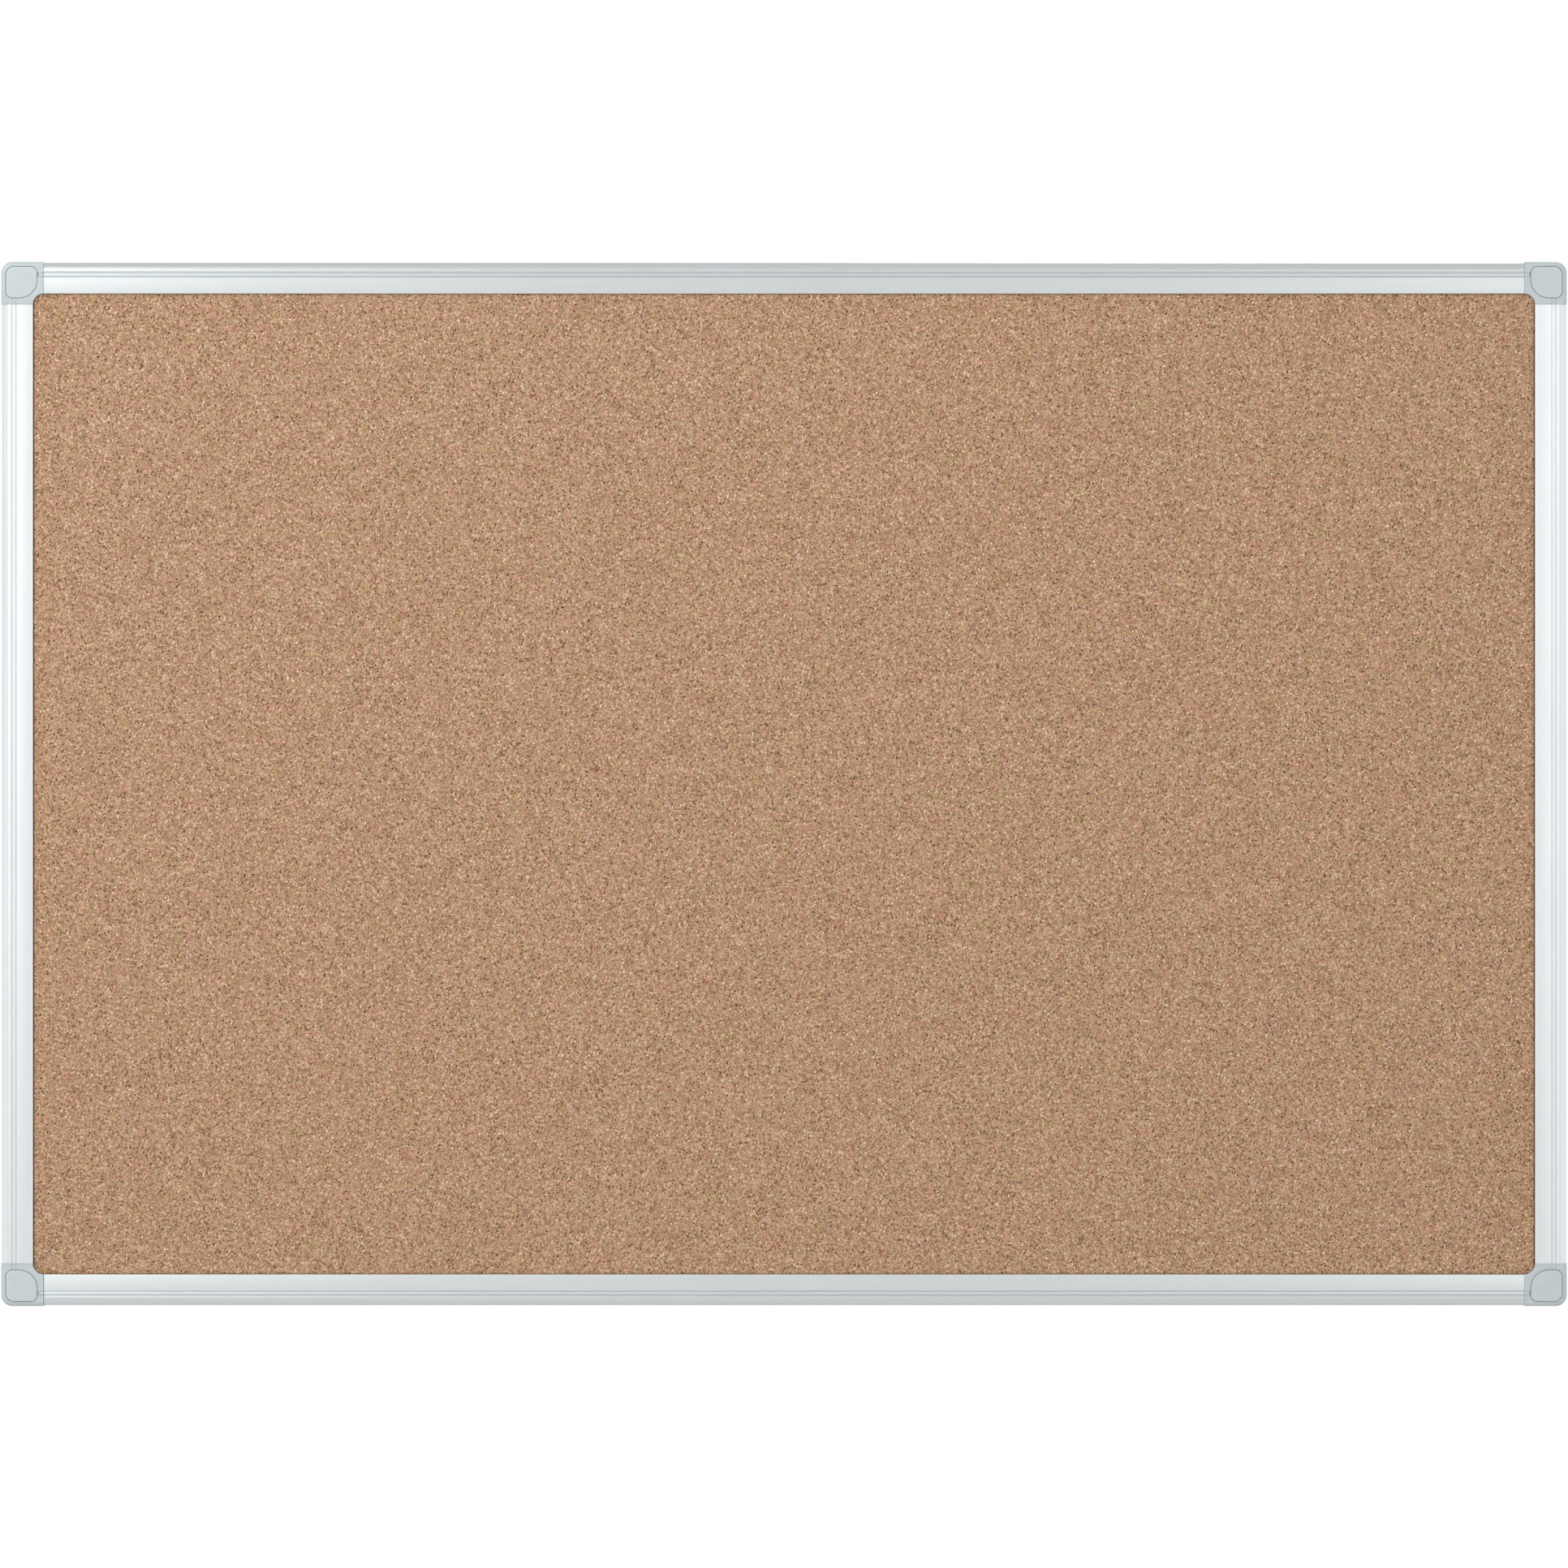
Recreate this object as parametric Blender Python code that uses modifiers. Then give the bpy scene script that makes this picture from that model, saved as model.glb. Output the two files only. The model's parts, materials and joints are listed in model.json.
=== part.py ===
"""Wall-mounted cork bulletin board, 900 x 600 mm, as an assembly of separate pieces.

Four aluminium extrusions hold a cork-faced softboard panel in their grooves. Plastic corner
brackets join the extrusions by two legs each, which screws lock from behind. Each bracket has a
well with the hole for a wall screw, under a press-in cover that pulls off forwards.

World frame: X runs across the board, Z up, and Y from the viewer to the wall. The origin is the
middle of the board in the plane of the wall, so every back face lies at Y = 0.

A bracket and its pieces are drawn in a corner frame: x and y run inwards from the two outer
faces of the frame, and z runs forwards from the wall.
"""

import math

import bmesh
import bpy
from mathutils import Matrix, Vector

MM = 0.001

# Driving dimensions
BOARD_WIDTH = 900 * MM
BOARD_HEIGHT = 600 * MM
RAIL_FACE = 18 * MM  # width of the frame as seen from the front
RAIL_DEPTH = 15 * MM
BRACKET_SIZE = 24 * MM  # length of a bracket's side along each outer face
GAP = 0.3 * MM  # clearance kept between neighbouring pieces

# Extruded rail: distances inwards from the outer face, heights forwards from the wall
RAIL_WALL = 1.3 * MM
WEB_INNER = 8.2 * MM  # chamber side of the web between the chamber and the panel groove
WEB_OUTER = 9.4 * MM  # panel side of that web
SHOULDER_WIDTH = 5.6 * MM  # the rounded outer shoulder is a quarter ellipse
SHOULDER_START = 9.0 * MM
BAND_HEIGHT = 14.6 * MM  # height of the flat band next to the panel
LIP_UNDERSIDE = 13.2 * MM
LIP_ROUND = 0.6 * MM
FLANGE_WIDTH = 16 * MM  # reach of the rear flange behind the panel
FLANGE_THICKNESS = 1.2 * MM
CHAMBER_TOP = 12.9 * MM
FINE_GROOVES = (6.0 * MM, 8.2 * MM)  # the two fine grooves along the face
FINE_GROOVE_HALF_WIDTH = 0.45 * MM
FINE_GROOVE_DEPTH = 0.5 * MM

# Panel layers, as heights above the wall
PAPER_LAYER = (1.5 * MM, 2.1 * MM)
CORE_LAYER = (2.4 * MM, 10.6 * MM)
CORK_LAYER = (10.9 * MM, 12.9 * MM)
CORK_CROWN = 0.2 * MM  # the exposed cork stands this much above the strip under the lips
BLOCK_SIDE = 17 * MM  # full-depth block of a bracket, which the panel's corner is cut off for
CORK_CORNER_RADIUS = 6 * MM  # rounding of the exposed cork's corners

# Corner bracket
BRACKET_PROUD = 0.4 * MM  # how far a bracket stands out of the rails' outer faces
BRACKET_FRONT = 15.3 * MM
BRACKET_CORNER_RADIUS = 6.4 * MM
BRACKET_EDGE_RADIUS = 3.0 * MM
LEG_LENGTH = 30 * MM  # length of a leg inside its rail
LEG_TAPER = 4 * MM
LEG_INSET = RAIL_WALL + GAP
LEG_TOP = CHAMBER_TOP - 1.3 * GAP
WELL_RANGE = (3.9 * MM, 15.6 * MM)
WELL_FLOOR = 5.0 * MM
WELL_RADIUS = 2.5 * MM
WALL_HOLE_RADIUS = 3.5 * MM
BOSS_RADIUS = 5.4 * MM
REAR_POCKET_RANGE = (2.2 * MM, 15.8 * MM)
REAR_POCKET_DEPTH = 3.2 * MM
RIB_THICKNESS = 1.2 * MM

# Corner cover
COVER_RANGE = (2.4 * MM, 20.3 * MM)
COVER_OUTER_RADIUS = 4.6 * MM
COVER_SIDE_RADIUS = 3.6 * MM
COVER_INNER_RADIUS = 10.2 * MM
COVER_SEAT = 14.0 * MM
COVER_TOP = 15.5 * MM
COVER_EDGE_ROUND = 0.35 * MM
SKIRT_INSET = 0.4 * MM
SKIRT_WALL = 1.0 * MM
SKIRT_DEPTH = 2.8 * MM
PRY_NOTCH_CENTRE = (19.8 * MM, 6.9 * MM)
PRY_NOTCH_RADIUS = 1.5 * MM

# Leg screw, a small countersunk self-tapping screw
SCREW_DISTANCE = 36 * MM  # from the bracket's outer faces, along a leg
SCREW_HEAD_RADIUS = 1.9 * MM
SCREW_SHANK_RADIUS = 1.0 * MM
SCREW_THREAD_RADIUS = 1.15 * MM
SCREW_HEAD_HEIGHT = 1.1 * MM
SCREW_RECESS = 0.1 * MM  # depth of the head below the rail's back face
SCREW_LENGTH = 7.5 * MM
THREAD_PITCH = 1.4 * MM
PILOT_RADIUS = 1.45 * MM
PILOT_DEPTH = 9 * MM

CHAMFER = 0.3 * MM
ARC_STEPS = 8
ROUND_SIDES = 24
SCREW_SIDES = 12
WELD_DISTANCE = 0.001 * MM
FLAT_ANGLE = math.radians(0.1)
FAR = 60 * MM  # well past a bracket's block, for envelopes and cutters
OVERLAP = 0.6 * MM  # by which joined shapes run into each other

WELL_CENTRE = sum(WELL_RANGE) / 2
LEG_CENTRE = (LEG_INSET + WEB_INNER - GAP) / 2
PANEL_INSET = WEB_OUTER + GAP
# Where a panel's edge turns into the cut that clears a bracket's block, from the outer face
PANEL_CUT = 2 * BLOCK_SIDE + math.sqrt(2) * GAP - PANEL_INSET

# Name, signs of X and Z, quarter turns, and which side of the cover faces the horizontal rail
CORNERS = (
    ("bottom_left", (-1, -1), 0, "x"),
    ("bottom_right", (1, -1), 1, "y"),
    ("top_right", (1, 1), 2, "x"),
    ("top_left", (-1, 1), 3, "y"),
)
# Name, direction of the outer face, quarter turns, and the length of the frame's side
SIDES = (
    ("bottom", (0, -1), 0, BOARD_WIDTH),
    ("right", (1, 0), 1, BOARD_HEIGHT),
    ("top", (0, 1), 2, BOARD_WIDTH),
    ("left", (-1, 0), 3, BOARD_HEIGHT),
)


# ---------------------------------------------------------------- scene, collections, materials


def clear_scene():
    for obj in list(bpy.data.objects):
        bpy.data.objects.remove(obj)


def new_collection(name):
    collection = bpy.data.collections.new(name)
    bpy.context.scene.collection.children.link(collection)
    return collection


def linear(value):
    """One sRGB channel, 0 to 255, as a linear value."""
    value = value / 255
    return value / 12.92 if value <= 0.04045 else ((value + 0.055) / 1.055) ** 2.4


def new_material(name, colour, roughness, metallic=0.0):
    material = bpy.data.materials.new(name)
    material.use_nodes = True
    shader = material.node_tree.nodes["Principled BSDF"]
    shader.inputs["Base Color"].default_value = (*map(linear, colour), 1.0)
    shader.inputs["Roughness"].default_value = roughness
    shader.inputs["Metallic"].default_value = metallic
    return material


def make_materials():
    return {
        "aluminium": new_material("satin_anodised_aluminium", (214, 218, 219), 0.35, 1.0),
        "bracket": new_material("grey_abs_bracket", (204, 214, 215), 0.5),
        "cover": new_material("grey_abs_cover", (208, 216, 218), 0.45),
        "cork": new_material("fine_grain_cork", (180, 144, 115), 0.9),
        "core": new_material("softboard_core", (176, 151, 118), 0.95),
        "paper": new_material("kraft_backing_paper", (168, 134, 98), 0.9),
        "zinc": new_material("zinc_plated_steel", (196, 198, 200), 0.3, 1.0),
    }


# ---------------------------------------------------------------- shape helpers


def link(obj, collection, parent=None):
    collection.objects.link(obj)
    obj.parent = parent
    return obj


def weld(mesh):
    """Joins vertices that lie on each other, makes each flat area one face where it can be, and
    turns every face outwards."""
    work = bmesh.new()
    work.from_mesh(mesh)
    bmesh.ops.remove_doubles(work, verts=work.verts, dist=WELD_DISTANCE)
    bmesh.ops.dissolve_limit(work, angle_limit=FLAT_ANGLE, verts=work.verts, edges=work.edges)
    bmesh.ops.recalc_face_normals(work, faces=work.faces)
    work.to_mesh(mesh)
    work.free()


def as_mesh(obj, collection):
    """The evaluated object as a new mesh object in its place."""
    bpy.context.view_layer.update()
    graph = bpy.context.evaluated_depsgraph_get()
    mesh = bpy.data.meshes.new_from_object(obj.evaluated_get(graph))
    weld(mesh)
    made = bpy.data.objects.new(obj.name, mesh)
    made.matrix_world = obj.matrix_world.copy()
    collection.objects.link(made)
    name = obj.name
    bpy.data.objects.remove(obj)
    made.name = name
    return made


def prism(name, outline, low, high):
    """A solid between two heights over a flat outline, given as (x, y) points in order."""
    work = bmesh.new()
    face = work.faces.new([work.verts.new((x, y, low)) for x, y in outline])
    made = bmesh.ops.extrude_face_region(work, geom=[face], use_keep_orig=True)
    top = [item for item in made["geom"] if isinstance(item, bmesh.types.BMVert)]
    bmesh.ops.translate(work, verts=top, vec=(0, 0, high - low))
    bmesh.ops.recalc_face_normals(work, faces=work.faces)
    return mesh_object(name, work)


def tube(name, outer, inner, low, high):
    """A prism with a second outline cut through it."""
    cutter = prism("inside", inner, low - OVERLAP, high + OVERLAP)
    return combine(prism(name, outer, low, high), "DIFFERENCE", [cutter])


def mesh_object(name, work):
    mesh = bpy.data.meshes.new(name)
    work.to_mesh(mesh)
    work.free()
    return link(bpy.data.objects.new(name, mesh), CUTTERS)


def box(name, low, high):
    work = bmesh.new()
    size = Vector(high) - Vector(low)
    middle = (Vector(high) + Vector(low)) / 2
    matrix = Matrix.Translation(middle) @ Matrix.Diagonal((*size, 1))
    bmesh.ops.create_cube(work, size=1, matrix=matrix)
    return mesh_object(name, work)


def cone(name, centre, low, high, radius_low, radius_high, sides=ROUND_SIDES):
    """A cylinder or cone along z, between two heights."""
    work = bmesh.new()
    bmesh.ops.create_cone(
        work,
        cap_ends=True,
        segments=sides,
        radius1=radius_low,
        radius2=radius_high,
        depth=high - low,
        matrix=Matrix.Translation((*centre, (low + high) / 2)),
    )
    return mesh_object(name, work)


def combine(target, operation, others):
    """Adds a Boolean modifier for each other object, bakes them and removes the others."""
    for other in others:
        other.hide_render = True
        other.display_type = "WIRE"
        modifier = target.modifiers.new(other.name, "BOOLEAN")
        modifier.operation = operation
        modifier.solver = "EXACT"
        modifier.object = other
    made = as_mesh(target, CUTTERS)
    for other in others:
        bpy.data.objects.remove(other)
    return made


def bevel_where(obj, chosen, offset, segments):
    """Rounds the edges for which chosen(first, second) is true of their end points."""
    work = bmesh.new()
    work.from_mesh(obj.data)
    edges = [
        e
        for e in work.edges
        if e.calc_face_angle() > FLAT_ANGLE and chosen(e.verts[0].co, e.verts[1].co)
    ]
    bmesh.ops.bevel(
        work,
        geom=edges,
        offset=offset,
        segments=segments,
        profile=0.5,
        affect="EDGES",
    )
    work.to_mesh(obj.data)
    work.free()
    return obj


def near(value, target):
    return abs(value - target) < WELD_DISTANCE * 10


def swap_sides(obj):
    """Mirrors a corner-frame shape in the bracket's diagonal, so that x and y change places."""
    obj.data.transform(Matrix(((0, 1, 0, 0), (1, 0, 0, 0), (0, 0, 1, 0), (0, 0, 0, 1))))
    obj.data.flip_normals()
    return obj


def copy_of(obj, name):
    made = bpy.data.objects.new(name, obj.data.copy())
    return link(made, CUTTERS)


# ---------------------------------------------------------------- outlines


def arc(centre, radius, start, end, steps=ARC_STEPS):
    """Points on an arc, both ends included, with the angles in degrees."""
    points = []
    for step in range(steps + 1):
        angle = math.radians(start + (end - start) * step / steps)
        points.append(
            (centre[0] + radius * math.cos(angle), centre[1] + radius * math.sin(angle))
        )
    return points


def ellipse_quarter(centre, half_width, half_height, steps=ARC_STEPS + 2):
    """Points from the ellipse's top to its left end."""
    points = []
    for step in range(steps + 1):
        angle = math.pi / 2 * (1 + step / steps)
        points.append(
            (
                centre[0] + half_width * math.cos(angle),
                centre[1] + half_height * math.sin(angle),
            )
        )
    return points


def rounded_square(low, high, outer, side, inner):
    """A square from low to high on both axes, with the radii of its corners: the one nearest the
    origin, the two beside it, and the one furthest away."""
    return (
        arc((low + outer, low + outer), outer, 180, 270)
        + arc((high - side, low + side), side, 270, 360)
        + arc((high - inner, high - inner), inner, 0, 90)
        + arc((low + side, high - side), side, 90, 180)
    )


def bracket_plate(arm):
    """The L of a bracket's front or rear plate: arms this wide, with a concave inner corner."""
    inner = arc((BRACKET_SIZE, BRACKET_SIZE), BRACKET_SIZE - arm, 270, 180)
    return [
        (-OVERLAP, -OVERLAP),
        (BRACKET_SIZE, -OVERLAP),
        *inner,
        (-OVERLAP, BRACKET_SIZE),
    ]


def rail_outline():
    """The rail's outer section: x inwards from the outer face, y forwards from the wall."""
    front = [
        (RAIL_FACE - CHAMFER, LIP_UNDERSIDE),
        (RAIL_FACE, LIP_UNDERSIDE + CHAMFER),
        *arc((RAIL_FACE - LIP_ROUND, BAND_HEIGHT - LIP_ROUND), LIP_ROUND, 0, 90, 3),
    ]
    bead_height = (BAND_HEIGHT + RAIL_DEPTH) / 2
    heights = {FINE_GROOVES[1]: (BAND_HEIGHT, bead_height), FINE_GROOVES[0]: (bead_height, RAIL_DEPTH)}
    for groove in reversed(FINE_GROOVES):
        inner, outer = heights[groove]
        front += [
            (groove + FINE_GROOVE_HALF_WIDTH, inner),
            (groove, min(inner, outer) - FINE_GROOVE_DEPTH),
            (groove - FINE_GROOVE_HALF_WIDTH, outer),
        ]
    shoulder = ellipse_quarter(
        (SHOULDER_WIDTH - 2 * CHAMFER, SHOULDER_START),
        SHOULDER_WIDTH - 2 * CHAMFER,
        RAIL_DEPTH - SHOULDER_START,
    )
    return [
        (0, CHAMFER),
        (CHAMFER, 0),
        (FLANGE_WIDTH - CHAMFER, 0),
        (FLANGE_WIDTH, CHAMFER),
        (FLANGE_WIDTH, FLANGE_THICKNESS),
        (WEB_OUTER, FLANGE_THICKNESS),
        (WEB_OUTER, LIP_UNDERSIDE),
        *front,
        *shoulder,
    ]


def rail_chamber():
    """The hollow that a bracket's leg slides into."""
    shoulder = ellipse_quarter(
        (SHOULDER_WIDTH, SHOULDER_START),
        SHOULDER_WIDTH - RAIL_WALL,
        CHAMBER_TOP - SHOULDER_START,
    )
    return [
        (RAIL_WALL, RAIL_WALL),
        (WEB_INNER, RAIL_WALL),
        (WEB_INNER, CHAMBER_TOP),
        *shoulder,
    ]


def leg_outline():
    """A leg's section, clear of the chamber all round, with its outer front corner cut off."""
    return [
        (LEG_INSET, LEG_INSET),
        (WEB_INNER - GAP, LEG_INSET),
        (WEB_INNER - GAP, LEG_TOP),
        (SHOULDER_WIDTH - GAP, LEG_TOP),
        (LEG_INSET, SHOULDER_START),
    ]


def panel_outline():
    """The panel's outline about its middle, with each corner cut off at 45 degrees."""
    half_x = BOARD_WIDTH / 2
    half_z = BOARD_HEIGHT / 2
    quarter = [
        (half_x - PANEL_INSET, half_z - PANEL_CUT),
        (half_x - PANEL_CUT, half_z - PANEL_INSET),
    ]
    turned = [(-x, y) for x, y in reversed(quarter)]
    top = quarter + turned
    return top + [(x, -y) for x, y in reversed(top)]


def exposed_cork():
    """The cork between the lips, just clear of them, with the brackets' rounded corners."""
    half_x = BOARD_WIDTH / 2 - RAIL_FACE - GAP
    half_z = BOARD_HEIGHT / 2 - RAIL_FACE - GAP
    radius = CORK_CORNER_RADIUS - GAP
    points = []
    for sign_x, sign_z, start in ((1, 1, 0), (-1, 1, 90), (-1, -1, 180), (1, -1, 270)):
        centre = (sign_x * (half_x - radius), sign_z * (half_z - radius))
        points += arc(centre, radius, start, start + 90)
    return points


# ---------------------------------------------------------------- pieces


def make_panel_layer(name, layer, material):
    """One flat layer of the panel, upright, with its front to -Y."""
    solid = prism(name, panel_outline(), *layer)
    return finish_piece(solid, upright(), material)


def make_cork_sheet(material):
    """The cork face: its edge lies under the lips, and its exposed area stands a little higher."""
    low, high = CORK_LAYER
    sheet = prism("cork_sheet", panel_outline(), low, high)
    crown = prism("cork_crown", exposed_cork(), high - OVERLAP, high + CORK_CROWN)
    return finish_piece(combine(sheet, "UNION", [crown]), upright(), material)


def countersink(distance):
    """Cutter for a screw hole through a rail's back wall, in the rail's own frame."""
    slope = (SCREW_HEAD_RADIUS - SCREW_SHANK_RADIUS) / SCREW_HEAD_HEIGHT
    clearance = PILOT_RADIUS - SCREW_SHANK_RADIUS
    mouth = SCREW_HEAD_RADIUS + clearance + slope * SCREW_RECESS
    sink = cone("sink", (0, 0), -GAP, RAIL_WALL, mouth + slope * GAP, PILOT_RADIUS, SCREW_SIDES)
    hole = cone("hole", (0, 0), 0, RAIL_WALL + OVERLAP, PILOT_RADIUS, PILOT_RADIUS, SCREW_SIDES)
    cutter = combine(sink, "UNION", [hole])
    # The section's y runs forwards, so the cutter's z is turned onto it.
    cutter.data.transform(Matrix.Rotation(math.radians(-90), 4, "X"))
    cutter.data.transform(Matrix.Translation((LEG_CENTRE, 0, distance)))
    return cutter


def make_rail(side, direction, turns, side_length, material):
    """One extrusion. Its section is drawn in x and y, and its length runs along z."""
    length = side_length - 2 * (BRACKET_SIZE + GAP)
    name = f"frame_rail_{side}"
    solid = tube(name, rail_outline(), rail_chamber(), -length / 2, length / 2)
    distance = side_length / 2 - SCREW_DISTANCE
    solid = combine(solid, "DIFFERENCE", [countersink(-distance), countersink(distance)])
    section_up = Matrix(((0, 0, 1, 0), (0, -1, 0, 0), (1, 0, 0, 0), (0, 0, 0, 1)))
    matrix = (
        Matrix.Translation(
            (direction[0] * BOARD_WIDTH / 2, 0, direction[1] * BOARD_HEIGHT / 2)
        )
        @ Matrix.Rotation(math.radians(-90 * turns), 4, "Y")
        @ section_up
    )
    return finish_piece(solid, matrix, material)


def bracket_envelope():
    """A block whose outer corner and front edges are rounded as a bracket's are."""
    low = -BRACKET_PROUD
    block = box("bracket_envelope", (low, low, 0), (FAR, FAR, BRACKET_FRONT))
    bevel_where(
        block,
        lambda a, b: near(a.x, low) and near(b.x, low) and near(a.y, low) and near(b.y, low),
        BRACKET_CORNER_RADIUS,
        ARC_STEPS,
    )
    return bevel_where(
        block,
        lambda a, b: near(a.z, BRACKET_FRONT)
        and near(b.z, BRACKET_FRONT)
        and min(a.x, a.y) < BRACKET_CORNER_RADIUS
        and min(b.x, b.y) < BRACKET_CORNER_RADIUS
        and not (near(a.x, FAR) and near(b.x, FAR))
        and not (near(a.y, FAR) and near(b.y, FAR)),
        BRACKET_EDGE_RADIUS,
        ARC_STEPS - 2,
    )


def bracket_shell():
    """Front plate, rear plate and the full-depth block between them, as one rounded body."""
    front_outline = bracket_plate(RAIL_FACE)
    front = prism("bracket", front_outline, LIP_UNDERSIDE, BRACKET_FRONT + OVERLAP)
    rear = prism("rear_plate", bracket_plate(FLANGE_WIDTH), -OVERLAP, FLANGE_THICKNESS)
    block_outline = [
        (-OVERLAP, -OVERLAP),
        (BRACKET_SIZE, -OVERLAP),
        (BRACKET_SIZE, WEB_OUTER),
        (BLOCK_SIDE, WEB_OUTER),
        (BLOCK_SIDE, BLOCK_SIDE),
        (WEB_OUTER, BLOCK_SIDE),
        (WEB_OUTER, BRACKET_SIZE),
        (-OVERLAP, BRACKET_SIZE),
    ]
    block = prism("block", block_outline, FLANGE_THICKNESS - OVERLAP, LIP_UNDERSIDE + OVERLAP)
    shell = combine(front, "UNION", [rear, block])
    shell = combine(shell, "INTERSECT", [bracket_envelope()])
    centre = Vector((BRACKET_SIZE, BRACKET_SIZE))
    radius = BRACKET_SIZE - RAIL_FACE
    return bevel_where(
        shell,
        lambda a, b: near(a.z, BRACKET_FRONT)
        and near(b.z, BRACKET_FRONT)
        and near((a.xy - centre).length, radius)
        and near((b.xy - centre).length, radius),
        LIP_ROUND,
        2,
    )


def make_leg():
    """A leg along x, which starts inside the bracket's arm and tapers at its tip."""
    tip = BRACKET_SIZE + LEG_LENGTH
    leg = prism("leg", leg_outline(), BRACKET_SIZE - 3 * OVERLAP, tip)
    middle = Vector((LEG_CENTRE, (LEG_INSET + LEG_TOP) / 2))
    work = bmesh.new()
    work.from_mesh(leg.data)
    bmesh.ops.bisect_plane(
        work,
        geom=[*work.verts, *work.edges, *work.faces],
        plane_co=(0, 0, tip - LEG_TAPER),
        plane_no=(0, 0, 1),
    )
    for vertex in work.verts:
        if near(vertex.co.z, tip):
            vertex.co.xy = middle + 0.7 * (vertex.co.xy - middle)
    work.to_mesh(leg.data)
    work.free()
    # The section's x, y and length become the corner frame's y, z and x.
    leg.data.transform(Matrix(((0, 0, 1, 0), (1, 0, 0, 0), (0, 1, 0, 0), (0, 0, 0, 1))))
    return leg


def rear_pockets():
    """Cutter for the hollows behind the well's floor, round the boss and between the ribs."""
    low, high = REAR_POCKET_RANGE
    outline = rounded_square(low, high, WELL_RADIUS, CHAMFER, CHAMFER)
    pocket = prism("rear_pockets", outline, -OVERLAP, REAR_POCKET_DEPTH)
    centre = (WELL_CENTRE, WELL_CENTRE)
    half = RIB_THICKNESS / 2
    boss = cone("boss", centre, -FAR / 2, FAR / 2, BOSS_RADIUS, BOSS_RADIUS)
    rib_x = box("rib_x", (-FAR, WELL_CENTRE - half, -FAR), (FAR, WELL_CENTRE + half, FAR))
    rib_y = box("rib_y", (WELL_CENTRE - half, -FAR, -FAR), (WELL_CENTRE + half, FAR, FAR))
    return combine(pocket, "DIFFERENCE", [boss, rib_x, rib_y])


def fine_groove(distance):
    """Cutter that carries one of the rails' fine grooves on, from the seam to the cover."""
    depth = 0.8 * FINE_GROOVE_DEPTH
    outline = [
        (distance, BRACKET_FRONT - depth),
        (distance + FINE_GROOVE_HALF_WIDTH, BRACKET_FRONT + GAP),
        (distance - FINE_GROOVE_HALF_WIDTH, BRACKET_FRONT + GAP),
    ]
    start = COVER_RANGE[1] + GAP / 2
    groove = prism("fine_groove", outline, start, BRACKET_SIZE + GAP)
    groove.data.transform(Matrix(((0, 0, 1, 0), (1, 0, 0, 0), (0, 1, 0, 0), (0, 0, 0, 1))))
    return groove


def pry_notch():
    """Cutter for the fingernail notch beside the cover, on its x side."""
    return cone(
        "pry_notch",
        PRY_NOTCH_CENTRE,
        COVER_SEAT,
        BRACKET_FRONT + OVERLAP,
        PRY_NOTCH_RADIUS,
        PRY_NOTCH_RADIUS,
    )


def bracket_cutters():
    """Everything cut out of a bracket that is the same on both of its sides."""
    low, high = COVER_RANGE
    seat_outline = rounded_square(
        low - GAP,
        high + GAP,
        COVER_OUTER_RADIUS + GAP,
        COVER_SIDE_RADIUS + GAP,
        COVER_INNER_RADIUS + GAP,
    )
    centre = (WELL_CENTRE, WELL_CENTRE)
    hole = WALL_HOLE_RADIUS
    cutters = [
        prism("seat", seat_outline, COVER_SEAT, BRACKET_FRONT + 2 * OVERLAP),
        prism(
            "well",
            rounded_square(*WELL_RANGE, *[WELL_RADIUS] * 3),
            WELL_FLOOR,
            COVER_SEAT + OVERLAP,
        ),
        cone("wall_hole", centre, -OVERLAP, WELL_FLOOR + OVERLAP, hole, hole),
        rear_pockets(),
    ]
    pilot = cone(
        "pilot",
        (SCREW_DISTANCE, LEG_CENTRE),
        LEG_INSET - OVERLAP,
        PILOT_DEPTH,
        PILOT_RADIUS,
        PILOT_RADIUS,
        SCREW_SIDES,
    )
    for cutter in (pilot, *map(fine_groove, FINE_GROOVES)):
        cutters += [swap_sides(copy_of(cutter, f"{cutter.name}_y")), cutter]
    return cutters


def make_bracket_meshes():
    """The bracket's mesh in two hands, by the side that its pry notch is on."""
    leg = make_leg()
    legs = [swap_sides(copy_of(leg, "leg_y")), leg]
    body = combine(bracket_shell(), "UNION", legs)
    body = combine(body, "DIFFERENCE", bracket_cutters())
    body = combine(body, "DIFFERENCE", [pry_notch()])
    other = swap_sides(copy_of(body, "bracket_y"))
    meshes = {"x": body.data, "y": other.data}
    for obj in (body, other):
        bpy.data.objects.remove(obj)
    return meshes


def make_cover_mesh():
    """The cover: a plate with rounded edges and a skirt that presses into the well. Its origin
    is on the middle line of the well, in the plane of the wall."""
    low, high = COVER_RANGE
    outline = rounded_square(low, high, COVER_OUTER_RADIUS, COVER_SIDE_RADIUS, COVER_INNER_RADIUS)
    plate = prism("cover", outline, COVER_SEAT + GAP, COVER_TOP)
    bevel_where(
        plate,
        lambda a, b: near(a.z, COVER_TOP) and near(b.z, COVER_TOP),
        COVER_EDGE_ROUND,
        2,
    )
    inset = SKIRT_INSET
    outer = rounded_square(WELL_RANGE[0] + inset, WELL_RANGE[1] - inset, *[WELL_RADIUS - inset] * 3)
    inset += SKIRT_WALL
    inner = rounded_square(WELL_RANGE[0] + inset, WELL_RANGE[1] - inset, *[WELL_RADIUS - inset] * 3)
    bottom = COVER_SEAT - SKIRT_DEPTH
    skirt = tube("skirt", outer, inner, bottom, COVER_SEAT + 2 * GAP)
    cover = combine(plate, "UNION", [skirt])
    mesh = cover.data
    mesh.transform(Matrix.Translation((-WELL_CENTRE, -WELL_CENTRE, 0)))
    bpy.data.objects.remove(cover)
    return mesh


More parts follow.
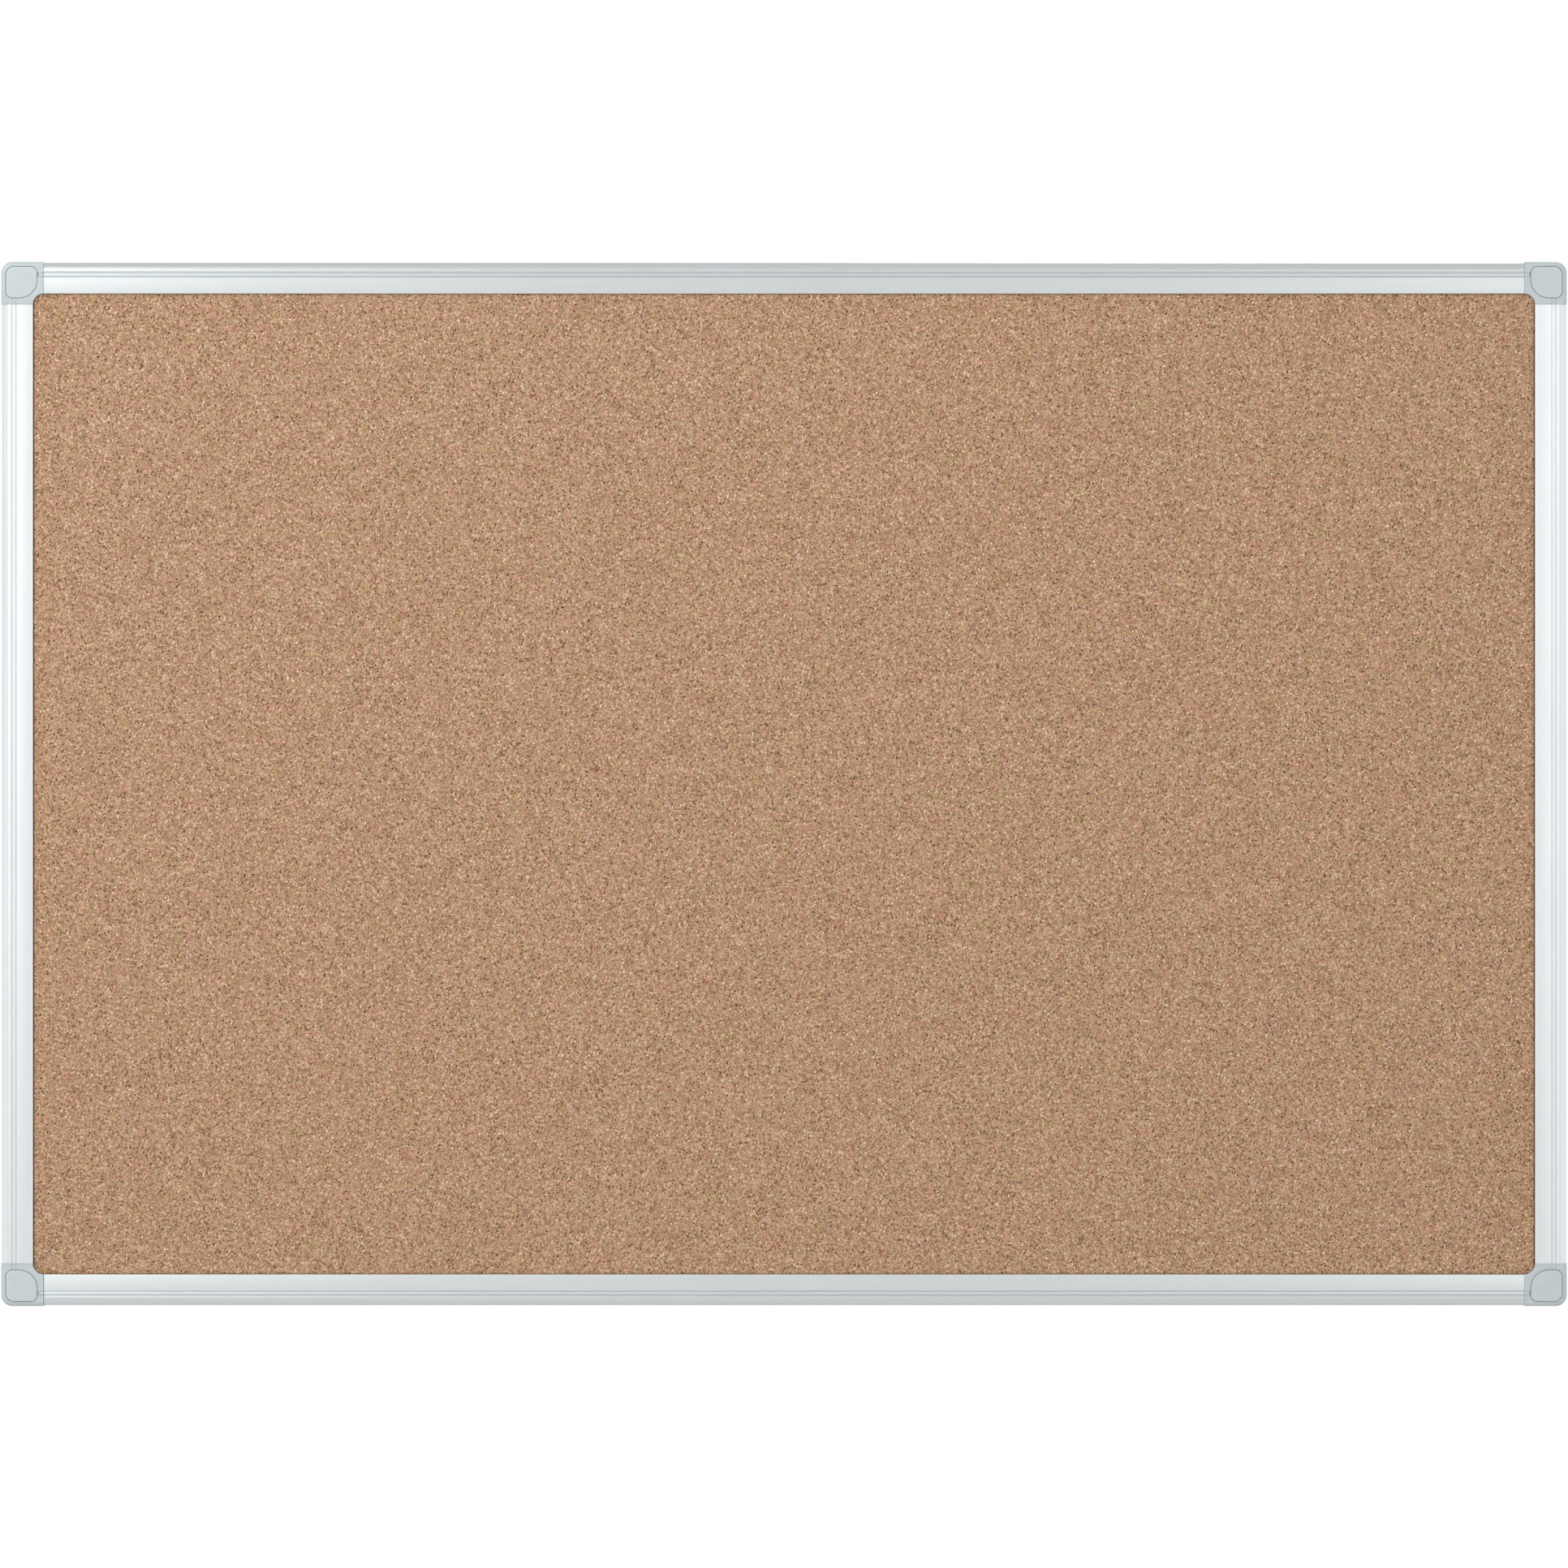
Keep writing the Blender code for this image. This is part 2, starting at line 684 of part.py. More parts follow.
def screw_profile():
    """Half of a screw's section from the middle of its head, down its outer side, to its tip.
    The head is at z = 0 and the tip below. Plain rings stand for the turns of the thread."""
    points = [
        (0, 0),
        (SCREW_HEAD_RADIUS, 0),
        (SCREW_HEAD_RADIUS, -0.2 * SCREW_HEAD_HEIGHT),
        (SCREW_SHANK_RADIUS, -SCREW_HEAD_HEIGHT),
    ]
    threads = int((SCREW_LENGTH - SCREW_HEAD_HEIGHT) / THREAD_PITCH) - 1
    for turn in range(threads):
        top = -SCREW_HEAD_HEIGHT - (turn + 0.5) * THREAD_PITCH
        points += [
            (SCREW_SHANK_RADIUS, top),
            (SCREW_THREAD_RADIUS, top - 0.2 * THREAD_PITCH),
            (SCREW_SHANK_RADIUS, top - 0.4 * THREAD_PITCH),
        ]
    points.append((0, -SCREW_LENGTH))
    return points


def make_screw_mesh():
    """A countersunk screw with a cross recess. Its head faces the wall, at the origin."""
    points = screw_profile()
    mesh = bpy.data.meshes.new("screw")
    edges = [(i, i + 1) for i in range(len(points) - 1)]
    mesh.from_pydata([(x, 0, z) for x, z in points], edges, [])
    turned = link(bpy.data.objects.new("screw", mesh), CUTTERS)
    modifier = turned.modifiers.new("turn", "SCREW")
    modifier.steps = modifier.render_steps = SCREW_SIDES
    modifier.use_merge_vertices = True
    modifier.merge_threshold = WELD_DISTANCE
    turned = as_mesh(turned, CUTTERS)
    reach, half, depth = 0.6 * SCREW_HEAD_RADIUS, 0.12 * SCREW_HEAD_RADIUS, 0.8 * MM
    recess = [
        box("slot_x", (-reach, -half, -depth), (reach, half, GAP)),
        box("slot_y", (-half, -reach, -depth), (half, reach, GAP)),
    ]
    screw = combine(turned, "DIFFERENCE", recess)
    mesh = screw.data
    # In the corner frame the head lies at the wall and the shank points forwards.
    mesh.transform(Matrix.Rotation(math.pi, 4, "X"))
    bpy.data.objects.remove(screw)
    return mesh


# ---------------------------------------------------------------- assembly


def upright():
    """Turns a shape drawn flat, with z forwards, into the board's upright frame."""
    return Matrix.Rotation(math.radians(90), 4, "X")


def shade(mesh):
    mesh.shade_smooth()
    mesh.set_sharp_from_angle(angle=math.radians(35))


def finish_piece(obj, matrix, material):
    """Places a finished mesh object, gives it its material and moves it to the board."""
    CUTTERS.objects.unlink(obj)
    BOARD.objects.link(obj)
    obj.matrix_world = matrix
    obj.data.materials.append(material)
    shade(obj.data)
    return obj


def place(name, mesh, parent, location, material):
    """One piece at a corner, as a child of that corner's empty."""
    obj = link(bpy.data.objects.new(name, mesh), BOARD, parent)
    obj.location = location
    if not mesh.materials:
        mesh.materials.append(material)
        shade(mesh)
    return obj


def corner_frame(name, signs, turns):
    """The empty that holds a corner's pieces, at the meeting point of the frame's outer faces."""
    empty = link(bpy.data.objects.new(f"corner_frame_{name}", None), BOARD)
    empty.matrix_world = (
        Matrix.Translation((signs[0] * BOARD_WIDTH / 2, 0, signs[1] * BOARD_HEIGHT / 2))
        @ upright()
        @ Matrix.Rotation(math.radians(90 * turns), 4, "Z")
    )
    return empty


def make_corners(materials):
    brackets = make_bracket_meshes()
    cover = make_cover_mesh()
    screw = make_screw_mesh()
    for name, signs, turns, notch_side in CORNERS:
        frame = corner_frame(name, signs, turns)
        place(f"corner_bracket_{name}", brackets[notch_side], frame, (0, 0, 0), materials["bracket"])
        place(
            f"corner_cover_{name}",
            cover,
            frame,
            (WELL_CENTRE, WELL_CENTRE, 0),
            materials["cover"],
        )
        spots = {
            "x": (SCREW_DISTANCE, LEG_CENTRE, SCREW_RECESS),
            "y": (LEG_CENTRE, SCREW_DISTANCE, SCREW_RECESS),
        }
        for side, spot in spots.items():
            along = "horizontal" if side == notch_side else "vertical"
            place(f"leg_screw_{name}_{along}", screw, frame, spot, materials["zinc"])


def main():
    materials = make_materials()
    for side, direction, turns, length in SIDES:
        make_rail(side, direction, turns, length, materials["aluminium"])
    make_cork_sheet(materials["cork"])
    make_panel_layer("softboard_core", CORE_LAYER, materials["core"])
    make_panel_layer("backing_paper", PAPER_LAYER, materials["paper"])
    make_corners(materials)


clear_scene()
BOARD = new_collection("cork_bulletin_board")
CUTTERS = new_collection("cutters")
main()
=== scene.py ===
"""Looks for the wall-mounted cork bulletin board.

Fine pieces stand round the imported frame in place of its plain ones, each with its own node
material. The world frame is the board's: X across, Z up, Y from the viewer to the wall, and the
origin in the middle of the board, in the plane of the wall.
"""

import json
import math

import bmesh
import bpy
from mathutils import Matrix, Vector, noise

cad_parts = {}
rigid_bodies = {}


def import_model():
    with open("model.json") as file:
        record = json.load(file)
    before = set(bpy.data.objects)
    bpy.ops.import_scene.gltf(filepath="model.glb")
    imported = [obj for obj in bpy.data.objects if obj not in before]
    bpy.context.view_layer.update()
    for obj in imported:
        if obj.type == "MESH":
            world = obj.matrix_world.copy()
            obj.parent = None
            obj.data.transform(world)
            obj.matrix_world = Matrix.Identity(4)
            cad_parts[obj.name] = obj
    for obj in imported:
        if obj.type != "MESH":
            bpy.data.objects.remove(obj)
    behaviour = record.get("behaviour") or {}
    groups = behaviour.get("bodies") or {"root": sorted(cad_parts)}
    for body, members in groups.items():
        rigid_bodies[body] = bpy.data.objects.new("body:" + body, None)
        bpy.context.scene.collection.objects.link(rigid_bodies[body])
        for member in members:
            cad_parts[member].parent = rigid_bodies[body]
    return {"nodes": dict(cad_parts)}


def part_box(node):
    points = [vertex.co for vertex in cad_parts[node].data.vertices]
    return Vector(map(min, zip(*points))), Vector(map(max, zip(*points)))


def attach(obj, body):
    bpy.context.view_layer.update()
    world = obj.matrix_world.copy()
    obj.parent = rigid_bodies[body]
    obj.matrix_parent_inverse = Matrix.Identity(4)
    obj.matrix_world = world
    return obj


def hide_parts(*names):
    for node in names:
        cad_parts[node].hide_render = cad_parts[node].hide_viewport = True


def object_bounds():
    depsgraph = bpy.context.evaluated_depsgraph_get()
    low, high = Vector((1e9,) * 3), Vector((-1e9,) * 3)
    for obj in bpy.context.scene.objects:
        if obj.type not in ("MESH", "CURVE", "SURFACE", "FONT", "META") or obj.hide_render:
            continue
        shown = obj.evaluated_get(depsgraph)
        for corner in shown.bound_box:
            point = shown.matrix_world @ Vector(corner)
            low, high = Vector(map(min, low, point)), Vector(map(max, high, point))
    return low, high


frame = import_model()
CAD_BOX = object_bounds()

MM = 0.001

# ---------------------------------------------------------------- sizes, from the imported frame

RAIL_LOW, RAIL_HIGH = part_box("frame_rail_left")
HALF_WIDTH = -RAIL_LOW.x
HALF_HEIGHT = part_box("frame_rail_top")[1].z
RAIL_FACE = RAIL_HIGH.x - RAIL_LOW.x
RAIL_DEPTH = RAIL_HIGH.y - RAIL_LOW.y
RAIL_HALF_LENGTHS = {
    "left": RAIL_HIGH.z,
    "right": RAIL_HIGH.z,
    "top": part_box("frame_rail_top")[1].x,
    "bottom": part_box("frame_rail_bottom")[1].x,
}
BRACKET_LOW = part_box("corner_bracket_top_left")[0]
BRACKET_PROUD = -HALF_WIDTH - BRACKET_LOW.x
BRACKET_FRONT = -BRACKET_LOW.y
COVER_LOW, COVER_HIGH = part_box("corner_cover_top_left")
COVER_RANGE = (COVER_LOW.x + HALF_WIDTH, COVER_HIGH.x + HALF_WIDTH)
COVER_TOP = -COVER_LOW.y
SKIRT_BOTTOM = -COVER_HIGH.y
CORK_LOW, CORK_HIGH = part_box("cork_sheet")
PAPER_LOW, PAPER_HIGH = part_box("backing_paper")
SCREW_LOW, SCREW_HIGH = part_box("leg_screw_top_left_horizontal")
SCREW_DISTANCE = (SCREW_LOW.x + SCREW_HIGH.x) / 2 + HALF_WIDTH
LEG_CENTRE = HALF_HEIGHT - (SCREW_LOW.z + SCREW_HIGH.z) / 2
SCREW_HEAD_RADIUS = (SCREW_HIGH.x - SCREW_LOW.x) / 2
SCREW_HEAD_HEIGHT = 1.1 * MM
SCREW_BACK = -SCREW_HIGH.y
SCREW_LENGTH = SCREW_HIGH.y - SCREW_LOW.y
SCREW_NECK_RADIUS = 1.0 * MM
SCREW_PITCH = 0.8 * MM
SCREW_CORE_RADIUS = 0.82 * MM
SCREW_CREST_RADIUS = 1.12 * MM
SCREW_POINT_LENGTH = 1.2 * MM
SINK_CLEARANCE = 0.45 * MM

# The same section and plan as the frame's, which a box can't give. In the section, x goes
# inwards from the rail's outer face and y forwards from the wall. A bracket's own x and y
# start at the board's corner.
BRACKET_SIZE = 24 * MM
SEAM = 0.12 * MM  # joint line left between a rail's end and a bracket
OPEN_SEAMS = {"bottom": (0.3 * MM, SEAM)}  # at a rail's two ends, where one is cut shorter
RAIL_WALL = 1.3 * MM
WEB_INNER = 8.2 * MM
WEB_OUTER = 9.4 * MM
SHOULDER_WIDTH = 5.0 * MM
SHOULDER_START = 9.0 * MM
BAND_HEIGHT = 14.6 * MM
LIP_UNDERSIDE = 13.2 * MM
LIP_ROUND = 0.6 * MM
FLANGE_WIDTH = 16 * MM
FLANGE_THICKNESS = 1.2 * MM
CHAMBER_TOP = 12.9 * MM
FINE_GROOVES = (6.0 * MM, 8.2 * MM)
GROOVE_HALF_WIDTH = 0.45 * MM
GROOVE_DEPTH = 0.5 * MM
BEAD_RISE = 0.12 * MM
BLOCK_SIDE = 17 * MM
CORNER_RADIUS = 6.4 * MM
FRONT_EDGE_RADIUS = 3.0 * MM
CLEARANCE = 0.3 * MM
LEG_INSET = RAIL_WALL + CLEARANCE
LEG_TOP = CHAMBER_TOP - 1.3 * CLEARANCE
LEG_TIP = 54 * MM
LEG_TAPER = 4 * MM
WELL_RANGE = (3.9 * MM, 15.6 * MM)
WELL_CENTRE = sum(WELL_RANGE) / 2
WELL_FLOOR = 5.0 * MM
WELL_RADIUS = 2.5 * MM
WALL_HOLE_RADIUS = 3.5 * MM
COVER_SEAT = 14.0 * MM
COVER_RADII = (4.6 * MM, 3.6 * MM, 10.2 * MM)  # outer corner, two sides, inner corner
COVER_CROWN = 0.12 * MM
COVER_EDGE_RADIUS = 0.35 * MM
COVER_UNDER_EDGE = 0.12 * MM
SKIRT_INSET = 0.4 * MM
SKIRT_WALL = 1.0 * MM
SKIRT_EASE = 0.15 * MM
SNAP_BEAD = 0.12 * MM
SNAP_BEAD_HEIGHTS = (0.5 * MM, 0.8 * MM, 1.1 * MM)  # its start, crest and end above the rim
BRACKET_EDGE_RADIUS = 0.1 * MM
PRY_NOTCH_CENTRE = (19.8 * MM, 6.9 * MM)
PRY_NOTCH_RADIUS = 1.5 * MM
REAR_POCKET = (2.2 * MM, 15.8 * MM)
REAR_POCKET_DEPTH = 3.2 * MM
BOSS_RADIUS = 5.4 * MM
RIB_THICKNESS = 1.2 * MM
PILOT_RADIUS = 1.45 * MM
PILOT_DEPTH = 9 * MM
PANEL_INSET = HALF_WIDTH - CORK_HIGH.x
PANEL_CUT = 2 * BLOCK_SIDE + math.sqrt(2) * CLEARANCE - PANEL_INSET
CORK_CORNER_RADIUS = 6 * MM
CORK_MARGIN = 0.15 * MM  # from the edge of the cork's relief to the rails' lips
CORK_STRIP_DEPTH = 0.2 * MM  # how far the cork is pressed back under the lips
CORK_CREST_DEPTH = 0.06 * MM
CORK_RELIEF = 0.03 * MM
CORK_EDGE_DROP = 0.06 * MM
CORK_EDGE_WIDTH = 1.2 * MM
CORK_ROWS, CORK_COLUMNS = 76, 120  # in half the height and half the width
PAPER_ROWS, PAPER_COLUMNS = 60, 90
PAPER_COCKLE = 0.16 * MM
PAPER_COCKLE_SPACING = 70 * MM

FAR = 60 * MM
OVERLAP = 0.6 * MM
TINY = 0.001 * MM
FLAT_ANGLE = math.radians(0.1)

# A prism's length along x, a mirror in the diagonal, and a rail along the board's foot
ALONG_X = Matrix(((0, 0, 1, 0), (1, 0, 0, 0), (0, 1, 0, 0), (0, 0, 0, 1)))
SWAP_X_Y = Matrix(((0, 1, 0, 0), (1, 0, 0, 0), (0, 0, 1, 0), (0, 0, 0, 1)))
RAIL_TO_BOARD = Matrix(((0, 0, 1, 0), (0, -1, 0, 0), (1, 0, 0, 0), (0, 0, 0, 1)))

# Studio, in metres and watts
ROOM_LEVELS = (0.725, 1.22)  # straight ahead and above, and at the two sides
CAMERA_DISTANCE = 8.0
SENSOR_WIDTH = 36  # mm
PICTURE_SHARE = 0.9984  # of the picture's width that the board takes up
FLOOR_LEVEL = -0.62
FLOOR_LOW, FLOOR_HIGH = (-2.2, -2.4), (2.2, 0.55)
# Name, place, width, height and power. Each light aims at the middle of the board.
LIGHTS = (
    ("key_left", (-1.0, -3.0, 0.5), 0.9, 1.5, 4.2),
    ("key_right", (1.0, -3.0, 0.4), 0.9, 1.5, 3.8),
    ("wing_left", (-1.6, -2.4, 0.6), 1.2, 1.6, 4.0),
    ("wing_right", (1.6, -2.4, 0.3), 1.2, 1.6, 1.2),
    ("high_left", (-1.1, -1.4, 1.25), 1.0, 1.0, 10.5),
    ("back_fill", (0.9, 2.4, 1.2), 1.6, 1.6, 12),
)

# Name, signs of X and Z, quarter turns, and which of the bracket's own axes runs along the
# horizontal rail, where its notch is
CORNERS = (
    ("bottom_left", (-1, -1), 0, "x"),
    ("bottom_right", (1, -1), 1, "y"),
    ("top_right", (1, 1), 2, "x"),
    ("top_left", (-1, 1), 3, "y"),
)
# Name, signs of X and Z, and quarter turns
SIDES = (
    ("bottom", (0, -1), 0),
    ("right", (1, 0), 1),
    ("top", (0, 1), 2),
    ("left", (-1, 0), 3),
)

WORK = bpy.data.collections.new("work")
bpy.context.scene.collection.children.link(WORK)
BOARD = bpy.data.collections.new("cork_bulletin_board")
bpy.context.scene.collection.children.link(BOARD)


# ---------------------------------------------------------------- mesh helpers


def mesh_object(name, work):
    mesh = bpy.data.meshes.new(name)
    work.to_mesh(mesh)
    work.free()
    obj = bpy.data.objects.new(name, mesh)
    WORK.objects.link(obj)
    return obj


def prism(name, outline, low, high):
    """A solid between two heights over a flat outline of (x, y) points."""
    work = bmesh.new()
    face = work.faces.new([work.verts.new((x, y, low)) for x, y in outline])
    made = bmesh.ops.extrude_face_region(work, geom=[face], use_keep_orig=True)
    top = [item for item in made["geom"] if isinstance(item, bmesh.types.BMVert)]
    bmesh.ops.translate(work, verts=top, vec=(0, 0, high - low))
    bmesh.ops.recalc_face_normals(work, faces=work.faces)
    return mesh_object(name, work)


def box(name, low, high):
    work = bmesh.new()
    size = Vector(high) - Vector(low)
    middle = (Vector(high) + Vector(low)) / 2
    matrix = Matrix.Translation(middle) @ Matrix.Diagonal((*size, 1))
    bmesh.ops.create_cube(work, size=1, matrix=matrix)
    return mesh_object(name, work)


def cone(name, centre, low, high, radius_low, radius_high, sides=48):
    work = bmesh.new()
    bmesh.ops.create_cone(
        work,
        cap_ends=True,
        segments=sides,
        radius1=radius_low,
        radius2=radius_high,
        depth=high - low,
        matrix=Matrix.Translation((*centre, (low + high) / 2)),
    )
    return mesh_object(name, work)


def in_order(work):
    """The same mesh, with its points and faces in an order set by their places alone, so
    that the next step starts from the same mesh in every run."""
    places = {vertex: tuple(round(c / TINY) for c in vertex.co) for vertex in work.verts}
    vertices = sorted(work.verts, key=places.get)
    numbers = {vertex: number for number, vertex in enumerate(vertices)}
    faces = []
    for face in work.faces:
        loop = [numbers[vertex] for vertex in face.verts]
        start = loop.index(min(loop))
        faces.append(loop[start:] + loop[:start])
    mesh = bpy.data.meshes.new("ordered")
    mesh.from_pydata([vertex.co for vertex in vertices], [], sorted(faces))
    return mesh


def bake(obj, dissolve=True):
    """Replaces the object with a new one whose mesh has the modifiers applied."""
    bpy.context.view_layer.update()
    graph = bpy.context.evaluated_depsgraph_get()
    mesh = bpy.data.meshes.new_from_object(obj.evaluated_get(graph))
    if dissolve:
        work = bmesh.new()
        work.from_mesh(mesh)
        bmesh.ops.remove_doubles(work, verts=work.verts, dist=TINY)
        bmesh.ops.dissolve_limit(work, angle_limit=FLAT_ANGLE, verts=work.verts, edges=work.edges)
        bmesh.ops.recalc_face_normals(work, faces=work.faces)
        mesh = in_order(work)
        work.free()
    name = obj.name
    bpy.data.objects.remove(obj)
    made = bpy.data.objects.new(name, mesh)
    WORK.objects.link(made)
    return made


def combine(target, operation, others):
    for other in others:
        modifier = target.modifiers.new(other.name, "BOOLEAN")
        modifier.operation = operation
        modifier.solver = "EXACT"
        modifier.object = other
    made = bake(target)
    for other in others:
        bpy.data.objects.remove(other)
    return made


def bevel_where(obj, chosen, offset, segments):
    """Rounds the edges for which chosen(first, second) is true of their end points."""
    work = bmesh.new()
    work.from_mesh(obj.data)
    edges = [
        e
        for e in work.edges
        if e.calc_face_angle() > FLAT_ANGLE and chosen(e.verts[0].co, e.verts[1].co)
    ]
    bmesh.ops.bevel(
        work, geom=edges, offset=offset, segments=segments, profile=0.5, affect="EDGES"
    )
    work.to_mesh(obj.data)
    work.free()
    return obj


def soften(obj, width, angle):
    """Gives a moulded solid its small edge radii, and clean normals."""
    bevel = obj.modifiers.new("edge_radius", "BEVEL")
    bevel.width = width
    bevel.segments = 2
    bevel.limit_method = "ANGLE"
    bevel.angle_limit = math.radians(angle)
    bevel.use_clamp_overlap = True
    bevel.miter_outer = "MITER_ARC"
    obj.data.shade_smooth()
    normals = obj.modifiers.new("face_normals", "WEIGHTED_NORMAL")
    normals.keep_sharp = True
    normals.weight = 100
    return bake(obj, dissolve=False)


def shade(obj, sharpest):
    """Smooth shading, with a hard edge wherever faces meet at more than this many degrees."""
    obj.data.shade_smooth()
    obj.data.set_sharp_from_angle(angle=math.radians(sharpest))


def swap_sides(obj):
    """Mirrors a corner shape in the bracket's diagonal."""
    obj.data.transform(SWAP_X_Y)
    obj.data.flip_normals()
    return obj


def copy_of(obj, name):
    made = bpy.data.objects.new(name, obj.data.copy())
    WORK.objects.link(made)
    return made


def stack(name, rings):
    """A closed solid through rings that all have the same number of points."""
    work = bmesh.new()
    loops = [[work.verts.new(point) for point in ring] for ring in rings]
    for first, second in zip(loops, loops[1:]):
        for i in range(len(first)):
            j = (i + 1) % len(first)
            work.faces.new((first[i], first[j], second[j], second[i]))
    work.faces.new(loops[0])
    work.faces.new(loops[-1])
    bmesh.ops.recalc_face_normals(work, faces=work.faces)
    return mesh_object(name, work)


def near(value, target):
    return abs(value - target) < TINY * 10


# ---------------------------------------------------------------- outlines


def arc(centre, radius, start, end, steps):
    points = []
    for step in range(steps + 1):
        angle = math.radians(start + (end - start) * step / steps)
        points.append(
            (centre[0] + radius * math.cos(angle), centre[1] + radius * math.sin(angle))
        )
    return points


def ellipse_quarter(centre, half_width, half_height, steps):
    """Points from the ellipse's top to its left end."""
    points = []
    for step in range(steps + 1):
        angle = math.pi / 2 * (1 + step / steps)
        x = centre[0] + half_width * math.cos(angle)
        points.append((x, centre[1] + half_height * math.sin(angle)))
    return points


def fillet(corners):
    """Rounds the corners of an outline given as (x, y, radius)."""
    steps = 4
    points = []
    for i, (x, y, radius) in enumerate(corners):
        here = Vector((x, y))
        if not radius:
            points.append((x, y))
            continue
        before = Vector(corners[i - 1][:2]) - here
        after = Vector(corners[(i + 1) % len(corners)][:2]) - here
        half = before.angle(after) / 2
        reach = min(radius / math.tan(half), 0.49 * before.length, 0.49 * after.length)
        radius = reach * math.tan(half)
        before.normalize()
        after.normalize()
        centre = here + (before + after).normalized() * radius / math.sin(half)
        first = here + before * reach - centre
        last = here + after * reach - centre
        turn = first.angle_signed(last)
        for step in range(steps + 1):
            angle = -turn * step / steps
            spot = centre + Matrix.Rotation(angle, 2) @ first
            points.append((spot.x, spot.y))
    return points


def rounded_square(low, high, outer, side, inner, steps=14):
    """A square on a bracket's diagonal, with a radius at each kind of corner."""
    return (
        arc((low + outer, low + outer), outer, 180, 270, steps)
        + arc((high - side, low + side), side, 270, 360, steps)
        + arc((high - inner, high - inner), inner, 0, 90, steps + 6)
        + arc((low + side, high - side), side, 90, 180, steps)
    )


def rail_outline():
    """The extrusion's section. The bead is the low ridge between the two fine grooves."""
    bead = (BAND_HEIGHT + RAIL_DEPTH) / 2
    half = GROOVE_HALF_WIDTH
    outer, inner = FINE_GROOVES
    middle = (outer + inner) / 2
    corners = [
        (0, 0, 0.3 * MM),
        (FLANGE_WIDTH, 0, 0.3 * MM),
        (FLANGE_WIDTH, FLANGE_THICKNESS, 0.25 * MM),
        (WEB_OUTER, FLANGE_THICKNESS, 0.35 * MM),
        (WEB_OUTER, LIP_UNDERSIDE, 0.35 * MM),
        (RAIL_FACE, LIP_UNDERSIDE, 0.25 * MM),
        (RAIL_FACE, BAND_HEIGHT, LIP_ROUND),
        (inner + half, BAND_HEIGHT, 0.15 * MM),
        (inner, BAND_HEIGHT - GROOVE_DEPTH, 0.07 * MM),
        (inner - half, bead, 0.18 * MM),
        (middle, bead + BEAD_RISE, 1.2 * MM),
        (outer + half, bead, 0.18 * MM),
        (outer, bead - GROOVE_DEPTH, 0.07 * MM),
        (outer - half, RAIL_DEPTH, 0.15 * MM),
    ]
    shoulder = ellipse_quarter(
        (SHOULDER_WIDTH, SHOULDER_START), SHOULDER_WIDTH, RAIL_DEPTH - SHOULDER_START, 22
    )
    return fillet(corners) + shoulder


def rail_chamber():
    """The hollow that takes a bracket's leg."""
    centre = (SHOULDER_WIDTH + 0.6 * MM, SHOULDER_START)
    shoulder = ellipse_quarter(
        centre, centre[0] - RAIL_WALL, CHAMBER_TOP - SHOULDER_START, 14
    )
    corners = [
        (RAIL_WALL, RAIL_WALL, 0.25 * MM),
        (WEB_INNER, RAIL_WALL, 0.25 * MM),
        (WEB_INNER, CHAMBER_TOP, 0.25 * MM),
    ]
    return fillet(corners) + shoulder


def bracket_plate(arm):
    """An L with arms of this width and a concave arc in its inner corner."""
    inner = arc((BRACKET_SIZE, BRACKET_SIZE), BRACKET_SIZE - arm, 270, 180, 24)
    return [
        (-OVERLAP, -OVERLAP),
        (BRACKET_SIZE, -OVERLAP),
        *inner,
        (-OVERLAP, BRACKET_SIZE),
    ]


# ---------------------------------------------------------------- rails


def make_rail(side, direction, turns):
    """One extrusion, with its section in x and y and its length along z."""
    length = RAIL_HALF_LENGTHS[side] + CLEARANCE
    seams = OPEN_SEAMS.get(side, (SEAM, SEAM))
    inside = prism("chamber", rail_chamber(), -length - OVERLAP, length + OVERLAP)
    solid = prism(f"rail_{side}", rail_outline(), seams[0] - length, length - seams[1])
    solid = combine(solid, "DIFFERENCE", [inside])
    slope = (SCREW_HEAD_RADIUS - SCREW_NECK_RADIUS) / SCREW_HEAD_HEIGHT
    mouth = SCREW_HEAD_RADIUS + SINK_CLEARANCE + slope * SCREW_BACK
    half_side = HALF_WIDTH if side in ("top", "bottom") else HALF_HEIGHT
    cutters = []
    for sign in (-1, 1):
        sink = cone(
            f"sink{sign}", (0, 0), -CLEARANCE, RAIL_WALL, mouth + slope * CLEARANCE, PILOT_RADIUS
        )
        hole = cone(f"hole{sign}", (0, 0), 0, RAIL_WALL + OVERLAP, PILOT_RADIUS, PILOT_RADIUS)
        cutter = combine(sink, "UNION", [hole])
        cutter.data.transform(Matrix.Rotation(math.radians(-90), 4, "X"))
        distance = sign * (half_side - SCREW_DISTANCE)
        cutter.data.transform(Matrix.Translation((LEG_CENTRE, 0, distance)))
        cutters.append(cutter)
    solid = combine(solid, "DIFFERENCE", cutters)
    solid.matrix_world = (
        Matrix.Translation((direction[0] * HALF_WIDTH, 0, direction[1] * HALF_HEIGHT))
        @ Matrix.Rotation(math.radians(-90 * turns), 4, "Y")
        @ RAIL_TO_BOARD
    )
    shade(solid, 32)
    look = "upright" if side in ("left", "right") else "aluminium"
    settle(solid, f"rail_{side}", "board", "aluminium", f"frame_rail_{side}", look)


# ---------------------------------------------------------------- brackets


